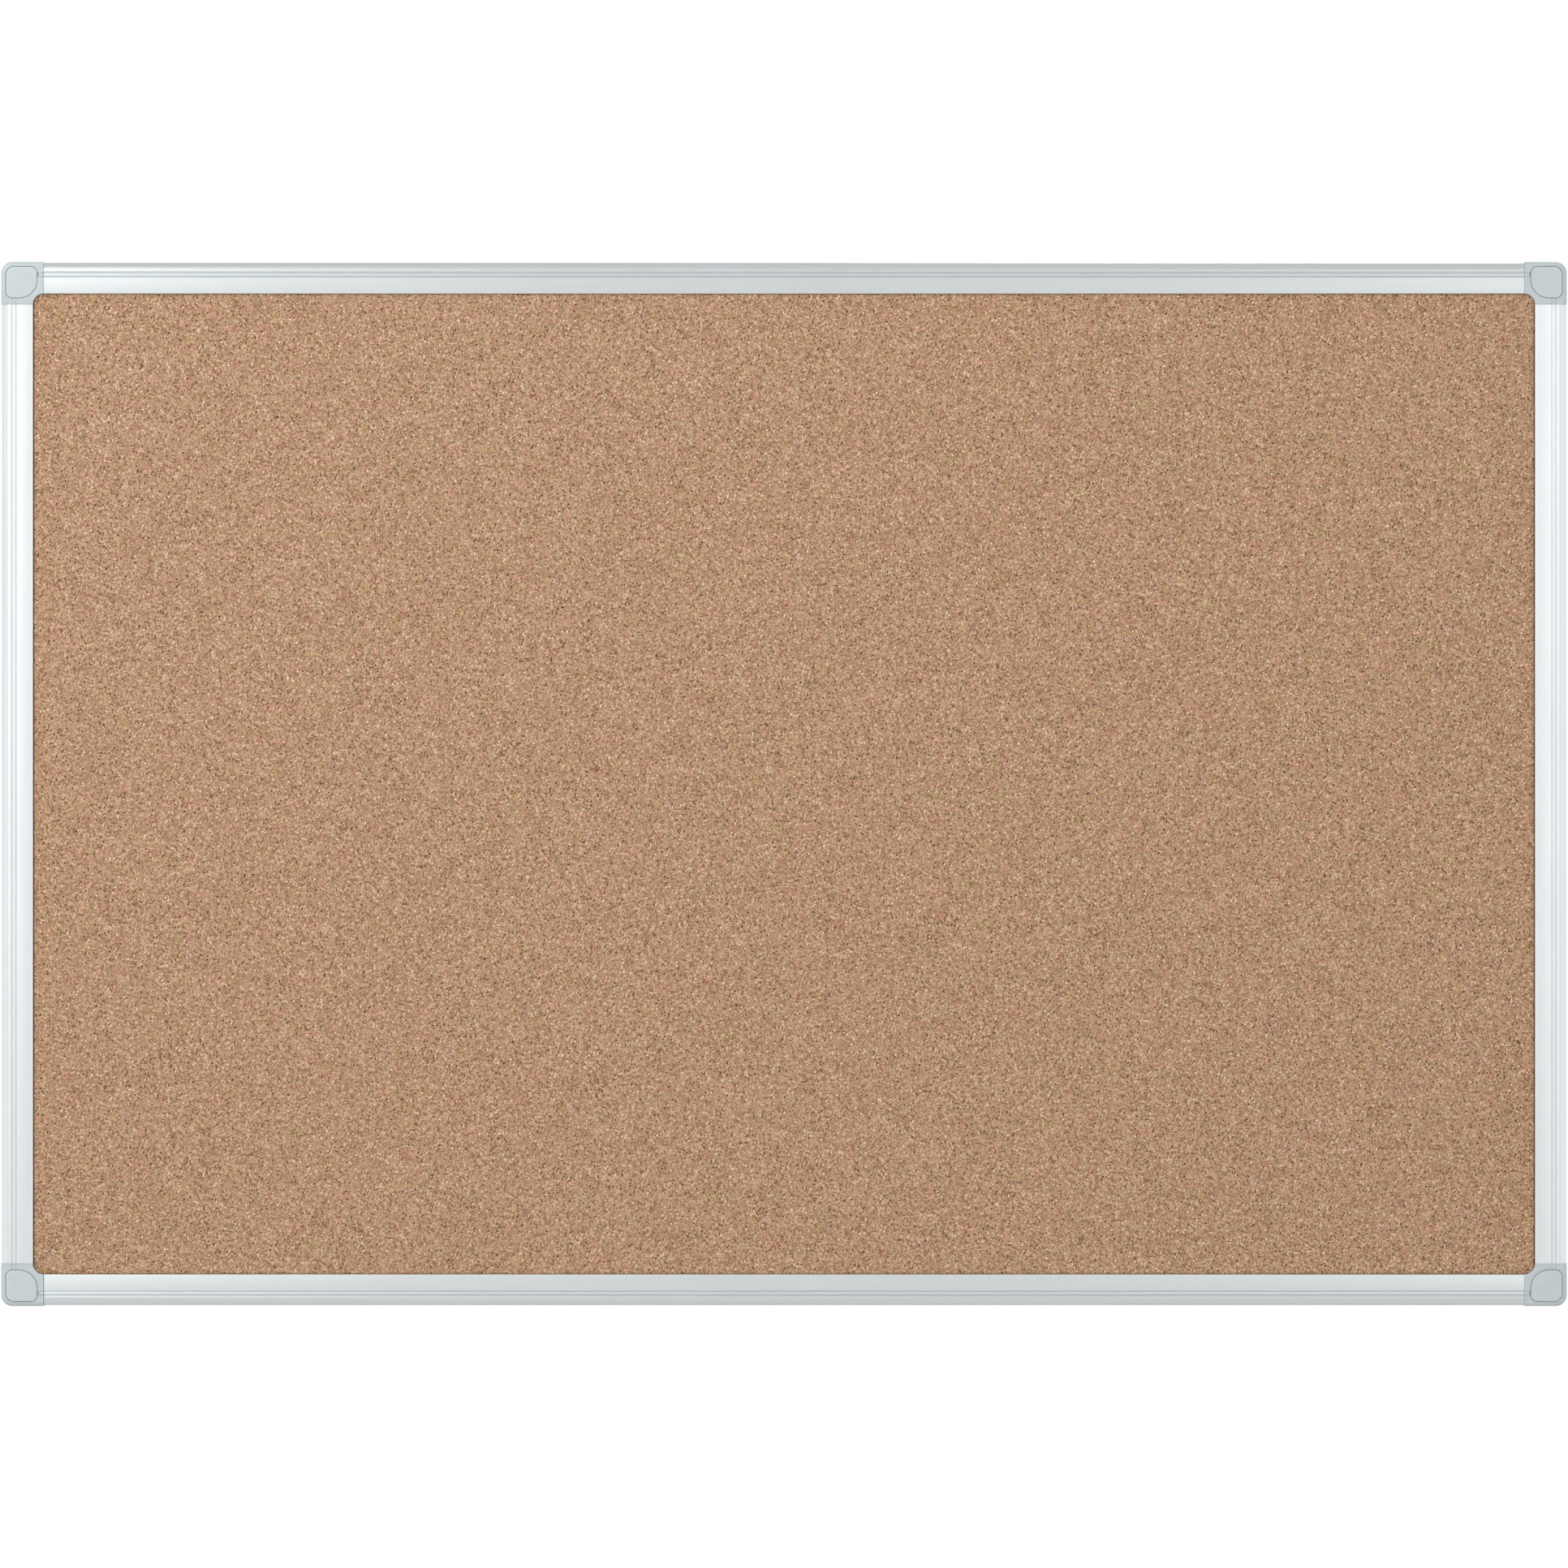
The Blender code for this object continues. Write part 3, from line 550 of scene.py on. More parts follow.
def bracket_envelope():
    """A block with the bracket's rounded outer corner and front edges."""
    low = -BRACKET_PROUD
    block = box("envelope", (low, low, 0), (FAR, FAR, BRACKET_FRONT))
    bevel_where(
        block,
        lambda a, b: near(a.x, low) and near(b.x, low) and near(a.y, low) and near(b.y, low),
        CORNER_RADIUS,
        24,
    )
    return bevel_where(
        block,
        lambda a, b: near(a.z, BRACKET_FRONT)
        and near(b.z, BRACKET_FRONT)
        and min(a.x, a.y) < CORNER_RADIUS
        and min(b.x, b.y) < CORNER_RADIUS
        and not (near(a.x, FAR) and near(b.x, FAR))
        and not (near(a.y, FAR) and near(b.y, FAR)),
        FRONT_EDGE_RADIUS,
        14,
    )


def bracket_shell():
    """The plates and the block between them, cut to the rounded envelope."""
    front = prism(
        "front_plate", bracket_plate(RAIL_FACE), LIP_UNDERSIDE, BRACKET_FRONT + OVERLAP
    )
    rear = prism("rear_plate", bracket_plate(FLANGE_WIDTH), -OVERLAP, FLANGE_THICKNESS)
    block_outline = [
        (-OVERLAP, -OVERLAP),
        (BRACKET_SIZE, -OVERLAP),
        (BRACKET_SIZE, WEB_OUTER),
        (BLOCK_SIDE, WEB_OUTER),
        (BLOCK_SIDE, BLOCK_SIDE),
        (WEB_OUTER, BLOCK_SIDE),
        (WEB_OUTER, BRACKET_SIZE),
        (-OVERLAP, BRACKET_SIZE),
    ]
    block = prism("block", block_outline, FLANGE_THICKNESS - OVERLAP, LIP_UNDERSIDE + OVERLAP)
    shell = combine(front, "UNION", [rear, block])
    shell = combine(shell, "INTERSECT", [bracket_envelope()])
    centre = Vector((BRACKET_SIZE, BRACKET_SIZE))
    radius = BRACKET_SIZE - RAIL_FACE
    return bevel_where(
        shell,
        lambda a, b: near(a.z, BRACKET_FRONT)
        and near(b.z, BRACKET_FRONT)
        and near((a.xy - centre).length, radius)
        and near((b.xy - centre).length, radius),
        LIP_ROUND,
        5,
    )


def make_leg():
    """The leg that goes into a rail's chamber, tapered at its tip."""
    corners = [
        (LEG_INSET, LEG_INSET, 0.4 * MM),
        (WEB_INNER - CLEARANCE, LEG_INSET, 0.4 * MM),
        (WEB_INNER - CLEARANCE, LEG_TOP, 0.4 * MM),
        (SHOULDER_WIDTH + CLEARANCE, LEG_TOP, 0.4 * MM),
        (LEG_INSET, SHOULDER_START, 0.4 * MM),
    ]
    leg = prism("leg", fillet(corners), BRACKET_SIZE - 3 * OVERLAP, LEG_TIP)
    middle = Vector((LEG_CENTRE, (LEG_INSET + LEG_TOP) / 2))
    work = bmesh.new()
    work.from_mesh(leg.data)
    bmesh.ops.bisect_plane(
        work,
        geom=[*work.verts, *work.edges, *work.faces],
        plane_co=(0, 0, LEG_TIP - LEG_TAPER),
        plane_no=(0, 0, 1),
    )
    for vertex in work.verts:
        if near(vertex.co.z, LEG_TIP):
            vertex.co.xy = middle + 0.7 * (vertex.co.xy - middle)
    work.to_mesh(leg.data)
    work.free()
    leg.data.transform(ALONG_X)
    return leg


def rear_pockets():
    """Four hollows in the back, round a boss and between two ribs."""
    low, high = REAR_POCKET
    outline = rounded_square(low, high, WELL_RADIUS, 0.5 * MM, 0.5 * MM, 8)
    pocket = prism("rear_pockets", outline, -OVERLAP, REAR_POCKET_DEPTH)
    half = RIB_THICKNESS / 2
    centre = (WELL_CENTRE, WELL_CENTRE)
    boss = cone("boss", centre, -FAR / 2, FAR / 2, BOSS_RADIUS, BOSS_RADIUS)
    rib_x = box("rib_x", (-FAR, WELL_CENTRE - half, -FAR), (FAR, WELL_CENTRE + half, FAR))
    rib_y = box("rib_y", (WELL_CENTRE - half, -FAR, -FAR), (WELL_CENTRE + half, FAR, FAR))
    return combine(pocket, "DIFFERENCE", [boss, rib_x, rib_y])


def fine_groove(distance):
    """A rail's fine groove carried on across the bracket, from the seam to the cover."""
    depth = 0.8 * GROOVE_DEPTH
    outline = [
        (distance, BRACKET_FRONT - depth),
        (distance + GROOVE_HALF_WIDTH, BRACKET_FRONT + CLEARANCE),
        (distance - GROOVE_HALF_WIDTH, BRACKET_FRONT + CLEARANCE),
    ]
    start = COVER_RANGE[1] + CLEARANCE / 2
    groove = prism("fine_groove", outline, start, BRACKET_SIZE + CLEARANCE)
    groove.data.transform(ALONG_X)
    return groove


def bracket_cutters():
    low, high = COVER_RANGE
    grown = [radius + CLEARANCE for radius in COVER_RADII]
    seat_outline = rounded_square(low - CLEARANCE, high + CLEARANCE, *grown)
    well_outline = rounded_square(*WELL_RANGE, *[WELL_RADIUS] * 3, 10)
    centre = (WELL_CENTRE, WELL_CENTRE)
    hole = WALL_HOLE_RADIUS
    cutters = [
        prism("seat", seat_outline, COVER_SEAT, BRACKET_FRONT + 2 * OVERLAP),
        prism("well", well_outline, WELL_FLOOR, COVER_SEAT + OVERLAP),
        cone("wall_hole", centre, -OVERLAP, WELL_FLOOR + OVERLAP, hole, hole),
        rear_pockets(),
    ]
    spot, radius = (SCREW_DISTANCE, LEG_CENTRE), PILOT_RADIUS
    pilot = cone("pilot", spot, LEG_INSET - OVERLAP, PILOT_DEPTH, radius, radius, 32)
    for cutter in (pilot, *map(fine_groove, FINE_GROOVES)):
        cutters += [swap_sides(copy_of(cutter, f"{cutter.name}_y")), cutter]
    return cutters


def make_bracket_meshes():
    """The bracket in two hands, by the side that its notch is on."""
    leg = make_leg()
    body = combine(bracket_shell(), "UNION", [swap_sides(copy_of(leg, "leg_y")), leg])
    body = combine(body, "DIFFERENCE", bracket_cutters())
    centre, radius = PRY_NOTCH_CENTRE, PRY_NOTCH_RADIUS
    notch = cone("pry_notch", centre, COVER_SEAT, BRACKET_FRONT + OVERLAP, radius, radius)
    body = combine(body, "DIFFERENCE", [notch])
    body = soften(body, BRACKET_EDGE_RADIUS, 38)
    other = swap_sides(copy_of(body, "bracket_y"))
    return {"x": body.data, "y": other.data}


# ---------------------------------------------------------------- covers


def make_cover_mesh():
    """A crowned plate with rounded edges, and a skirt with a snap bead that fits in the well."""
    low, high = COVER_RANGE
    well_low, well_high = WELL_RANGE
    under = COVER_SEAT + CLEARANCE
    edge = COVER_EDGE_RADIUS
    rim = COVER_TOP - COVER_CROWN

    def plate(inset, height):
        radii = [radius - inset for radius in COVER_RADII]
        outline = rounded_square(low + inset, high - inset, *radii)
        return [(x - WELL_CENTRE, y - WELL_CENTRE, height) for x, y in outline]

    def skirt(inset, height):
        radius = WELL_RADIUS - inset
        outline = rounded_square(well_low + inset, well_high - inset, *[radius] * 3)
        return [(x - WELL_CENTRE, y - WELL_CENTRE, height) for x, y in outline]

    inner, outer = SKIRT_INSET + SKIRT_WALL, SKIRT_INSET
    bottom = SKIRT_BOTTOM
    bead_start, bead_crest, bead_end = SNAP_BEAD_HEIGHTS
    rings = [
        skirt(inner + SKIRT_EASE, under),
        skirt(inner, under - SKIRT_EASE),
        skirt(inner, bottom + 0.2 * MM),
        skirt(inner - SKIRT_EASE, bottom),
        skirt(outer + 0.25 * MM, bottom),
        skirt(outer, bottom + bead_start),
        skirt(outer - SNAP_BEAD, bottom + bead_crest),
        skirt(outer, bottom + bead_end),
        skirt(outer, under - SKIRT_EASE),
        skirt(outer - SKIRT_EASE, under),
        plate(COVER_UNDER_EDGE, under),
        plate(0, under + COVER_UNDER_EDGE),
    ]
    for step in range(7):
        angle = math.radians(15 * step)
        rings.append(
            plate(edge * (1 - math.cos(angle)), rim - edge + edge * math.sin(angle))
        )
    last = rings[-1]
    centre = Vector(((low + high) / 2 - WELL_CENTRE,) * 2)
    for step in range(1, 13):
        share = 1 - step / 12.5
        height = rim + COVER_CROWN * (1 - share**2)
        ring = []
        for x, y, _ in last:
            spot = centre + (Vector((x, y)) - centre) * share
            ring.append((spot.x, spot.y, height))
        rings.append(ring)
    cover = stack("cover", rings)
    shade(cover, 50)
    return cover.data


# ---------------------------------------------------------------- screws


def make_screw_mesh():
    """A countersunk self-tapping screw. Its head faces the wall, with its top at the origin."""
    sides = 28
    pitch = SCREW_PITCH
    core, crest = SCREW_CORE_RADIUS, SCREW_CREST_RADIUS
    cylinder_end = SCREW_LENGTH - SCREW_POINT_LENGTH

    def circle(radius, height):
        return [
            (
                radius * math.cos(2 * math.pi * i / sides),
                -radius * math.sin(2 * math.pi * i / sides),
                height,
            )
            for i in range(sides)
        ]

    def threaded(height):
        taper = min(1, max(0.05, (SCREW_LENGTH - height) / (SCREW_LENGTH - cylinder_end)))
        ring = []
        for i in range(sides):
            phase = (height / pitch - i / sides) % 1
            ridge = max(0, 1 - abs(phase - 0.5) / 0.3)
            radius = (core + (crest - core) * ridge) * taper
            angle = 2 * math.pi * i / sides
            ring.append((radius * math.cos(angle), -radius * math.sin(angle), height))
        return ring

    head = SCREW_HEAD_RADIUS
    profile = (  # radius and height, from the middle of the head to the thread
        (0.5 * head, 0),
        (0.93 * head, 0),
        (0.98 * head, 0.04 * MM),
        (head, 0.1 * MM),
        (head, 0.2 * MM),
        (0.98 * head, 0.28 * MM),
        (core + 0.1 * MM, SCREW_HEAD_HEIGHT - 0.05 * MM),
        (core, SCREW_HEAD_HEIGHT + 0.1 * MM),
    )
    rings = [circle(radius, height) for radius, height in profile]
    start = SCREW_HEAD_HEIGHT + 0.15 * MM
    count = int((SCREW_LENGTH - start) / (pitch / 8))
    rings += [
        threaded(start + (SCREW_LENGTH - start) * step / count) for step in range(count + 1)
    ]
    screw = stack("screw", rings)
    recess = []
    for name, angle in (("slot_x", 0), ("slot_y", 90)):
        slot = box(name, (-1.05 * MM, -0.2 * MM, -0.2 * MM), (1.05 * MM, 0.2 * MM, 0.85 * MM))
        for vertex in slot.data.vertices:
            if vertex.co.z > 0:
                vertex.co.x *= 0.5
                vertex.co.y *= 0.7
        slot.data.transform(Matrix.Rotation(math.radians(angle + 17), 4, "Z"))
        recess.append(slot)
    screw = combine(screw, "DIFFERENCE", recess)
    shade(screw, 40)
    return screw.data


# ---------------------------------------------------------------- panel


def sheet_solid(name, rows, edge_x, outer_x, steps, lips, front, back):
    """A closed sheet on a grid. Each row at height z has evenly spaced columns out to edge_x(z),
    more just outside by the distances in lips, and the last at outer_x(z)."""
    work = bmesh.new()
    grids = []
    for surface in (front, back):
        grid = []
        for z in rows:
            edge = edge_x(z)
            side = [edge * i / steps for i in range(1, steps + 1)]
            side += [edge + lip for lip in lips] + [outer_x(z)]
            line = [-x for x in reversed(side)] + [0.0] + side
            grid.append([work.verts.new((x, surface(x, z), z)) for x in line])
        grids.append(grid)
    for grid in grids:
        for low, high in zip(grid, grid[1:]):
            for i in range(len(low) - 1):
                work.faces.new((low[i], low[i + 1], high[i + 1], high[i]))
    rims = []
    for grid in grids:
        rim = grid[0] + [row[-1] for row in grid[1:-1]]
        rim += list(reversed(grid[-1])) + [row[0] for row in reversed(grid[1:-1])]
        rims.append(rim)
    first, second = rims
    for i in range(len(first)):
        j = (i + 1) % len(first)
        work.faces.new((first[i], first[j], second[j], second[i]))
    bmesh.ops.recalc_face_normals(work, faces=work.faces)
    return mesh_object(name, work)


def panel_limit(z):
    """Half the panel's width at this height, with its corners cut off at 45 degrees."""
    over = max(0, abs(z) - (HALF_HEIGHT - PANEL_CUT))
    return HALF_WIDTH - PANEL_INSET - over


def make_cork():
    """A low relief inside the frame's lips, and a flatter strip under them."""
    half_x = HALF_WIDTH - RAIL_FACE - CORK_MARGIN
    half_z = HALF_HEIGHT - RAIL_FACE - CORK_MARGIN
    radius = CORK_CORNER_RADIUS - CORK_MARGIN
    strip = -(CORK_LOW.y + CORK_STRIP_DEPTH)
    crest = -CORK_LOW.y - CORK_CREST_DEPTH
    lips = (0.1 * MM, 0.16 * MM)

    def edge(z):
        over = min(radius, max(0, abs(z) - (half_z - radius)))
        return half_x - radius + math.sqrt(radius**2 - over**2)

    corner = [half_z - radius + radius * math.sin(math.radians(10 * i)) for i in range(1, 10)]
    beyond = [half_z + lip for lip in lips] + [HALF_HEIGHT - PANEL_INSET]
    middle = [(half_z - radius) * i / CORK_ROWS for i in range(1, CORK_ROWS + 1)]
    upper = middle + corner + beyond
    rows = [-z for z in reversed(upper)] + [0.0] + upper

    def front(x, z):
        if abs(z) > half_z + TINY or abs(x) > edge(z) + TINY:
            return -strip
        spot = Vector((x, 0, z)) / MM
        rise = noise.fractal(spot * 0.1, 0.8, 2.1, 2, noise_basis="PERLIN_ORIGINAL")
        inside = min(edge(z) - abs(x), half_z - abs(z))
        drop = CORK_EDGE_DROP * max(0, 1 - inside / CORK_EDGE_WIDTH)
        return -(crest + CORK_RELIEF * max(-1, min(1, rise)) - drop)

    def back(x, z):
        return CORK_HIGH.y

    cork = sheet_solid(
        "cork_face", rows, edge, panel_limit, CORK_COLUMNS, lips, front, back
    )
    shade(cork, 40)
    settle(cork, "cork_face", "board", "cork", "cork_sheet")


def make_backing():
    """The paper lies flat on the core, and its outer side cockles a little."""
    limit = HALF_HEIGHT - PANEL_INSET
    upper = [limit * i / PAPER_ROWS for i in range(1, PAPER_ROWS + 1)]
    rows = [-z for z in reversed(upper)] + [0.0] + upper

    def edge(z):
        return panel_limit(z) - 1 * MM

    def front(x, z):
        return PAPER_LOW.y

    def back(x, z):
        spot = Vector((x, 3.7, z)) / PAPER_COCKLE_SPACING
        wave = noise.fractal(spot, 1.0, 2.0, 3, noise_basis="PERLIN_ORIGINAL")
        return PAPER_HIGH.y + PAPER_COCKLE * wave

    paper = sheet_solid(
        "backing_sheet", rows, edge, panel_limit, PAPER_COLUMNS, (), front, back
    )
    shade(paper, 40)
    settle(paper, "backing_sheet", "board", "paper", "backing_paper")


# ---------------------------------------------------------------- materials


def linear(value):
    value = value / 255
    return value / 12.92 if value <= 0.04045 else ((value + 0.055) / 1.055) ** 2.4


def colour(red, green, blue):
    return (linear(red), linear(green), linear(blue), 1.0)


ALUMINIUM_TONES = (
    (0.30, (0.835, 0.875, 0.885, 1)),
    (0.50, (0.875, 0.915, 0.922, 1)),
    (0.72, (0.905, 0.942, 0.948, 1)),
)
ALUMINIUM_CLOUD = (0.78, 0.84, 0.86, 1)
# Painted shade laid into the rails' fine grooves
GROOVE_SHADE_COLOUR = (0.36, 0.4, 0.42, 1)
GRANULES = (1.1, 2.0)  # large and small ones, to a millimetre
CORK_TONES = (
    (0.00, colour(94, 60, 36)),
    (0.22, colour(149, 112, 83)),
    (0.50, colour(188, 151, 122)),
    (0.78, colour(221, 184, 156)),
    (1.00, colour(253, 220, 192)),
)
CORK_REDDISH, CORK_OLIVE = (1.07, 0.92, 0.9, 1), (0.96, 1.01, 0.8, 1)
GRANULE_REDDISH, GRANULE_OLIVE = (1.08, 0.94, 0.9, 1), (0.95, 1.01, 0.78, 1)
GRANULE_GAP = (0.62, 0.55, 0.5, 1)
FLECK_DARK, FLECK_PALE = colour(84, 54, 36), colour(250, 224, 200)
CORK_SHADOW = colour(88, 72, 72)
# Where the shadow inside each side of the frame ends, in full and at all, and its strength
CORK_SHADOWS = {
    "left": (0.35 * MM, 1.0 * MM, 0.85),
    "right": (0.5 * MM, 1.1 * MM, 0.68),
    "bottom": (0.3 * MM, 0.9 * MM, 0.42),
    "top": (0.25 * MM, 0.7 * MM, 0.3),
}
SOFTBOARD_TONES = (
    (0.30, colour(120, 92, 62)),
    (0.50, colour(172, 144, 108)),
    (0.70, colour(205, 180, 144)),
)
SOFTBOARD_CLOUD = colour(150, 120, 88)
KRAFT_TONES = (
    (0.34, colour(138, 104, 72)),
    (0.50, colour(170, 136, 100)),
    (0.68, colour(192, 160, 124)),
)
KRAFT_CLOUD = colour(156, 122, 88)
ZINC_BLUE, ZINC_YELLOW = (0.62, 0.65, 0.70, 1), (0.72, 0.70, 0.62, 1)
FLOOR_TONES = (0.7, 0.705, 0.71, 1), (0.76, 0.765, 0.77, 1)


class Shader:
    """A node material under construction."""

    def __init__(self, name, roughness=0.5, metallic=0.0, specular=0.5):
        self.material = bpy.data.materials.new(name)
        self.material.use_nodes = True
        self.tree = self.material.node_tree
        self.surface = self.tree.nodes["Principled BSDF"]
        self.surface.inputs["Roughness"].default_value = roughness
        self.surface.inputs["Metallic"].default_value = metallic
        self.surface.inputs["Specular IOR Level"].default_value = specular

    def add(self, kind, inputs=None, **settings):
        made = self.tree.nodes.new("ShaderNode" + kind)
        for key, value in settings.items():
            setattr(made, key, value)
        for key, value in (inputs or {}).items():
            self.put(made.inputs[key], value)
        return made

    def put(self, socket, value):
        if isinstance(value, bpy.types.NodeSocket):
            self.tree.links.new(value, socket)
        else:
            socket.default_value = value

    def coords(self, scale=(1, 1, 1), turn=(0, 0, 0), shift=(0, 0, 0)):
        """Object coordinates in millimetres, turned by degrees and then scaled."""
        source = self.add("TexCoord").outputs["Object"]
        inputs = {
            "Vector": source,
            "Location": tuple(s * MM for s in shift),
            "Rotation": tuple(math.radians(t) for t in turn),
            "Scale": tuple(MM / s for s in scale),
        }
        return self.add("Mapping", inputs, vector_type="TEXTURE").outputs[0]

    def noise(self, vector, scale, detail=2.0, rough=0.5, distortion=0.0):
        inputs = {
            "Vector": vector,
            "Scale": scale,
            "Detail": detail,
            "Roughness": rough,
            "Distortion": distortion,
        }
        return self.add("TexNoise", inputs).outputs["Fac"]

    def cells(self, vector, scale):
        return self.add("TexVoronoi", {"Vector": vector, "Scale": scale})

    def math(self, operation, first, second=0.0):
        return self.add("Math", {0: first, 1: second}, operation=operation).outputs[0]

    def weigh(self, *parts):
        """The sum of values, each given with its weight."""
        total = None
        for value, weight in parts:
            share = self.math("MULTIPLY", value, weight)
            total = share if total is None else self.math("ADD", total, share)
        return total

    def span(self, value, low, high, to_low=0.0, to_high=1.0):
        """Maps low..high to to_low..to_high, clamped."""
        inputs = {0: value, 1: low, 2: high, 3: to_low, 4: to_high}
        return self.add("MapRange", inputs).outputs[0]

    def mix(self, factor, first, second, blend="MIX"):
        made = self.add("Mix", data_type="RGBA", blend_type=blend)
        self.put(made.inputs[0], factor)
        self.put(made.inputs[6], first)
        self.put(made.inputs[7], second)
        return made.outputs[2]

    def ramp(self, factor, stops):
        made = self.add("ValToRGB", {0: factor})
        elements = made.color_ramp.elements
        while len(elements) < len(stops):
            elements.new(0.5)
        for element, (position, value) in zip(elements, stops):
            element.position = position
            element.color = value
        return made.outputs[0]

    def bump(self, height, strength, distance, after=None):
        inputs = {"Strength": strength, "Distance": distance, "Height": height}
        if after:
            inputs["Normal"] = after
        return self.add("Bump", inputs).outputs[0]

    def set(self, **inputs):
        for key, value in inputs.items():
            self.put(self.surface.inputs[key.replace("_", " ")], value)
        return self.material


def aluminium(name, groove_shade_strength):
    """Satin anodised extrusion, with painted shade in its fine grooves. The z axis runs along the
    rail.
    """
    s = Shader(name, 0.34, 1.0)
    along = s.coords((1, 1, 0.012))
    fine = s.noise(along, 7.0, 3.0, 0.7)
    broad = s.noise(along, 1.1, 2.0)
    cloud = s.noise(s.coords((1, 1, 0.3)), 0.05, 3.0)
    grain = s.noise(s.coords(), 9.0, 2.0, 0.8)
    base = s.ramp(s.weigh((fine, 0.6), (broad, 0.4)), ALUMINIUM_TONES)
    base = s.mix(s.span(cloud, 0.35, 0.7, 0.0, 0.12), base, ALUMINIUM_CLOUD)
    place = s.add("SeparateXYZ", {0: s.add("TexCoord").outputs["Object"]})
    # Painted shade: the front face is darkened in and beside the two fine grooves, towards the
    # groove shade colour
    offsets = [
        s.math("ABSOLUTE", s.math("SUBTRACT", place.outputs[0], centre))
        for centre in FINE_GROOVES
    ]
    inside = s.span(s.math("MINIMUM", *offsets), 0.15 * MM, 0.5 * MM, groove_shade_strength, 0.0)
    inside = s.math("MULTIPLY", inside, s.math("GREATER_THAN", place.outputs[1], CHAMBER_TOP))
    base = s.mix(inside, base, GROOVE_SHADE_COLOUR)
    rough = s.span(s.math("ADD", fine, s.math("MULTIPLY", cloud, 0.4)), 0.5, 0.95, 0.3, 0.4)
    lines = s.bump(fine, 0.12, 0.01 * MM)
    pits = s.bump(grain, 0.08, 0.004 * MM, lines)
    tangent = s.add("Tangent", direction_type="RADIAL", axis="Z").outputs[0]
    s.surface.inputs["Anisotropic"].default_value = 0.55
    return s.set(Base_Color=base, Roughness=rough, Normal=pits, Tangent=tangent)


def moulded(name, dark, light, rough_low, rough_high, texture):
    """Moulded ABS with a fine spark-eroded texture and faint flow marks."""
    s = Shader(name, 0.45, 0.0, 0.45)
    here = s.coords()
    flow = s.noise(here, 0.12, 3.0, 0.5, 0.6)
    fine = s.noise(here, 3.2, 3.0, 0.65)
    speck = s.noise(here, 1.1, 2.0, 0.5)
    tone = s.weigh((flow, 0.7), (speck, 0.3))
    base = s.mix(s.span(tone, 0.35, 0.65), dark, light)
    rough = s.span(flow, 0.3, 0.7, rough_low, rough_high)
    skin = s.bump(fine, texture, 0.02 * MM)
    s.surface.inputs["Subsurface Weight"].default_value = 0.06
    s.surface.inputs["Subsurface Scale"].default_value = 0.6 * MM
    return s.set(Base_Color=base, Roughness=rough, Normal=skin)


def granules(s, turn, shift):
    """A field of granules, small in large: its tone, its tint and the gaps in it."""
    vector = s.coords((0.8, 1, 1.2), (0, turn, 0), shift)
    large = s.cells(vector, GRANULES[0])
    small = s.cells(vector, GRANULES[1])
    first = s.add("SeparateColor", {0: large.outputs["Color"]})
    second = s.add("SeparateColor", {0: small.outputs["Color"]})
    tone = s.weigh((first.outputs[0], 0.5), (second.outputs[0], 0.5))
    return tone, first.outputs[1], s.span(small.outputs["Distance"], 0.4, 0.9)


def frame_shadow(s):
    """How much the cork darkens just inside each side of the frame."""
    place = s.add("SeparateXYZ", {0: s.add("TexCoord").outputs["Object"]})
    half_x, half_z = HALF_WIDTH - RAIL_FACE, HALF_HEIGHT - RAIL_FACE
    distances = {
        "left": s.math("ADD", half_x, place.outputs[0]),
        "right": s.math("SUBTRACT", half_x, place.outputs[0]),
        "bottom": s.math("ADD", half_z, place.outputs[2]),
        "top": s.math("SUBTRACT", half_z, place.outputs[2]),
    }
    darkest = 0.0
    for side, (full, none, strength) in CORK_SHADOWS.items():
        darkness = s.span(distances[side], full, none, strength, 0.0)
        darkest = s.math("MAXIMUM", darkest, darkness)
    return darkest


def cork():
    """Fine agglomerated cork: granules of mixed tone and tint, with dark and pale flecks."""
    s = Shader("fine_grain_cork", 0.88, 0.0, 0.2)
    plain = s.coords()
    fields = [granules(s, 44, (0, 0, 0)), granules(s, -46, (31, 7, 13))]
    patch = s.span(s.noise(plain, 0.35, 2.0, 0.6), 0.46, 0.54)
    tone, tint, gap = (s.mix(patch, first, second) for first, second in zip(*fields))
    mottle = s.noise(plain, 0.16, 5.0, 0.62)
    base = s.ramp(s.math("ADD", tone, s.span(mottle, 0.3, 0.7, -0.02, 0.02)), CORK_TONES)
    blush = s.noise(s.coords(shift=(5, 0, 9)), 0.16, 3.0, 0.55)
    base = s.mix(s.span(blush, 0.5, 0.68, 0, 0.8), base, CORK_REDDISH, "MULTIPLY")
    base = s.mix(s.span(blush, 0.5, 0.34, 0, 0.8), base, CORK_OLIVE, "MULTIPLY")
    base = s.mix(s.span(tint, 0.72, 1.0, 0, 0.5), base, GRANULE_REDDISH, "MULTIPLY")
    base = s.mix(s.span(tint, 0.28, 0.0, 0, 0.6), base, GRANULE_OLIVE, "MULTIPLY")
    base = s.mix(s.math("MULTIPLY", gap, 0.3), base, GRANULE_GAP, "MULTIPLY")
    flecks = s.cells(s.coords((1, 1, 0.8), (0, 20, 0)), 0.48)
    choice = s.add("SeparateColor", {0: flecks.outputs["Color"]})
    fleck = s.span(flecks.outputs["Distance"], 0.2, 0.26, 1, 0)
    dark = s.math("MULTIPLY", fleck, s.span(choice.outputs[0], 0.5, 0.54))
    pale = s.math("MULTIPLY", fleck, s.span(choice.outputs[0], 0.34, 0.3))
    base = s.mix(s.math("MULTIPLY", dark, 0.9), base, FLECK_DARK)
    base = s.mix(s.math("MULTIPLY", pale, 0.8), base, FLECK_PALE)
    base = s.mix(frame_shadow(s), base, CORK_SHADOW)
    height = s.weigh((tone, 1.0), (gap, -0.5), (dark, -0.6))
    rise = s.bump(height, 0.4, 0.1 * MM)
    rough = s.span(tone, 0.2, 0.8, 0.94, 0.8)
    return s.set(Base_Color=base, Roughness=rough, Normal=rise)


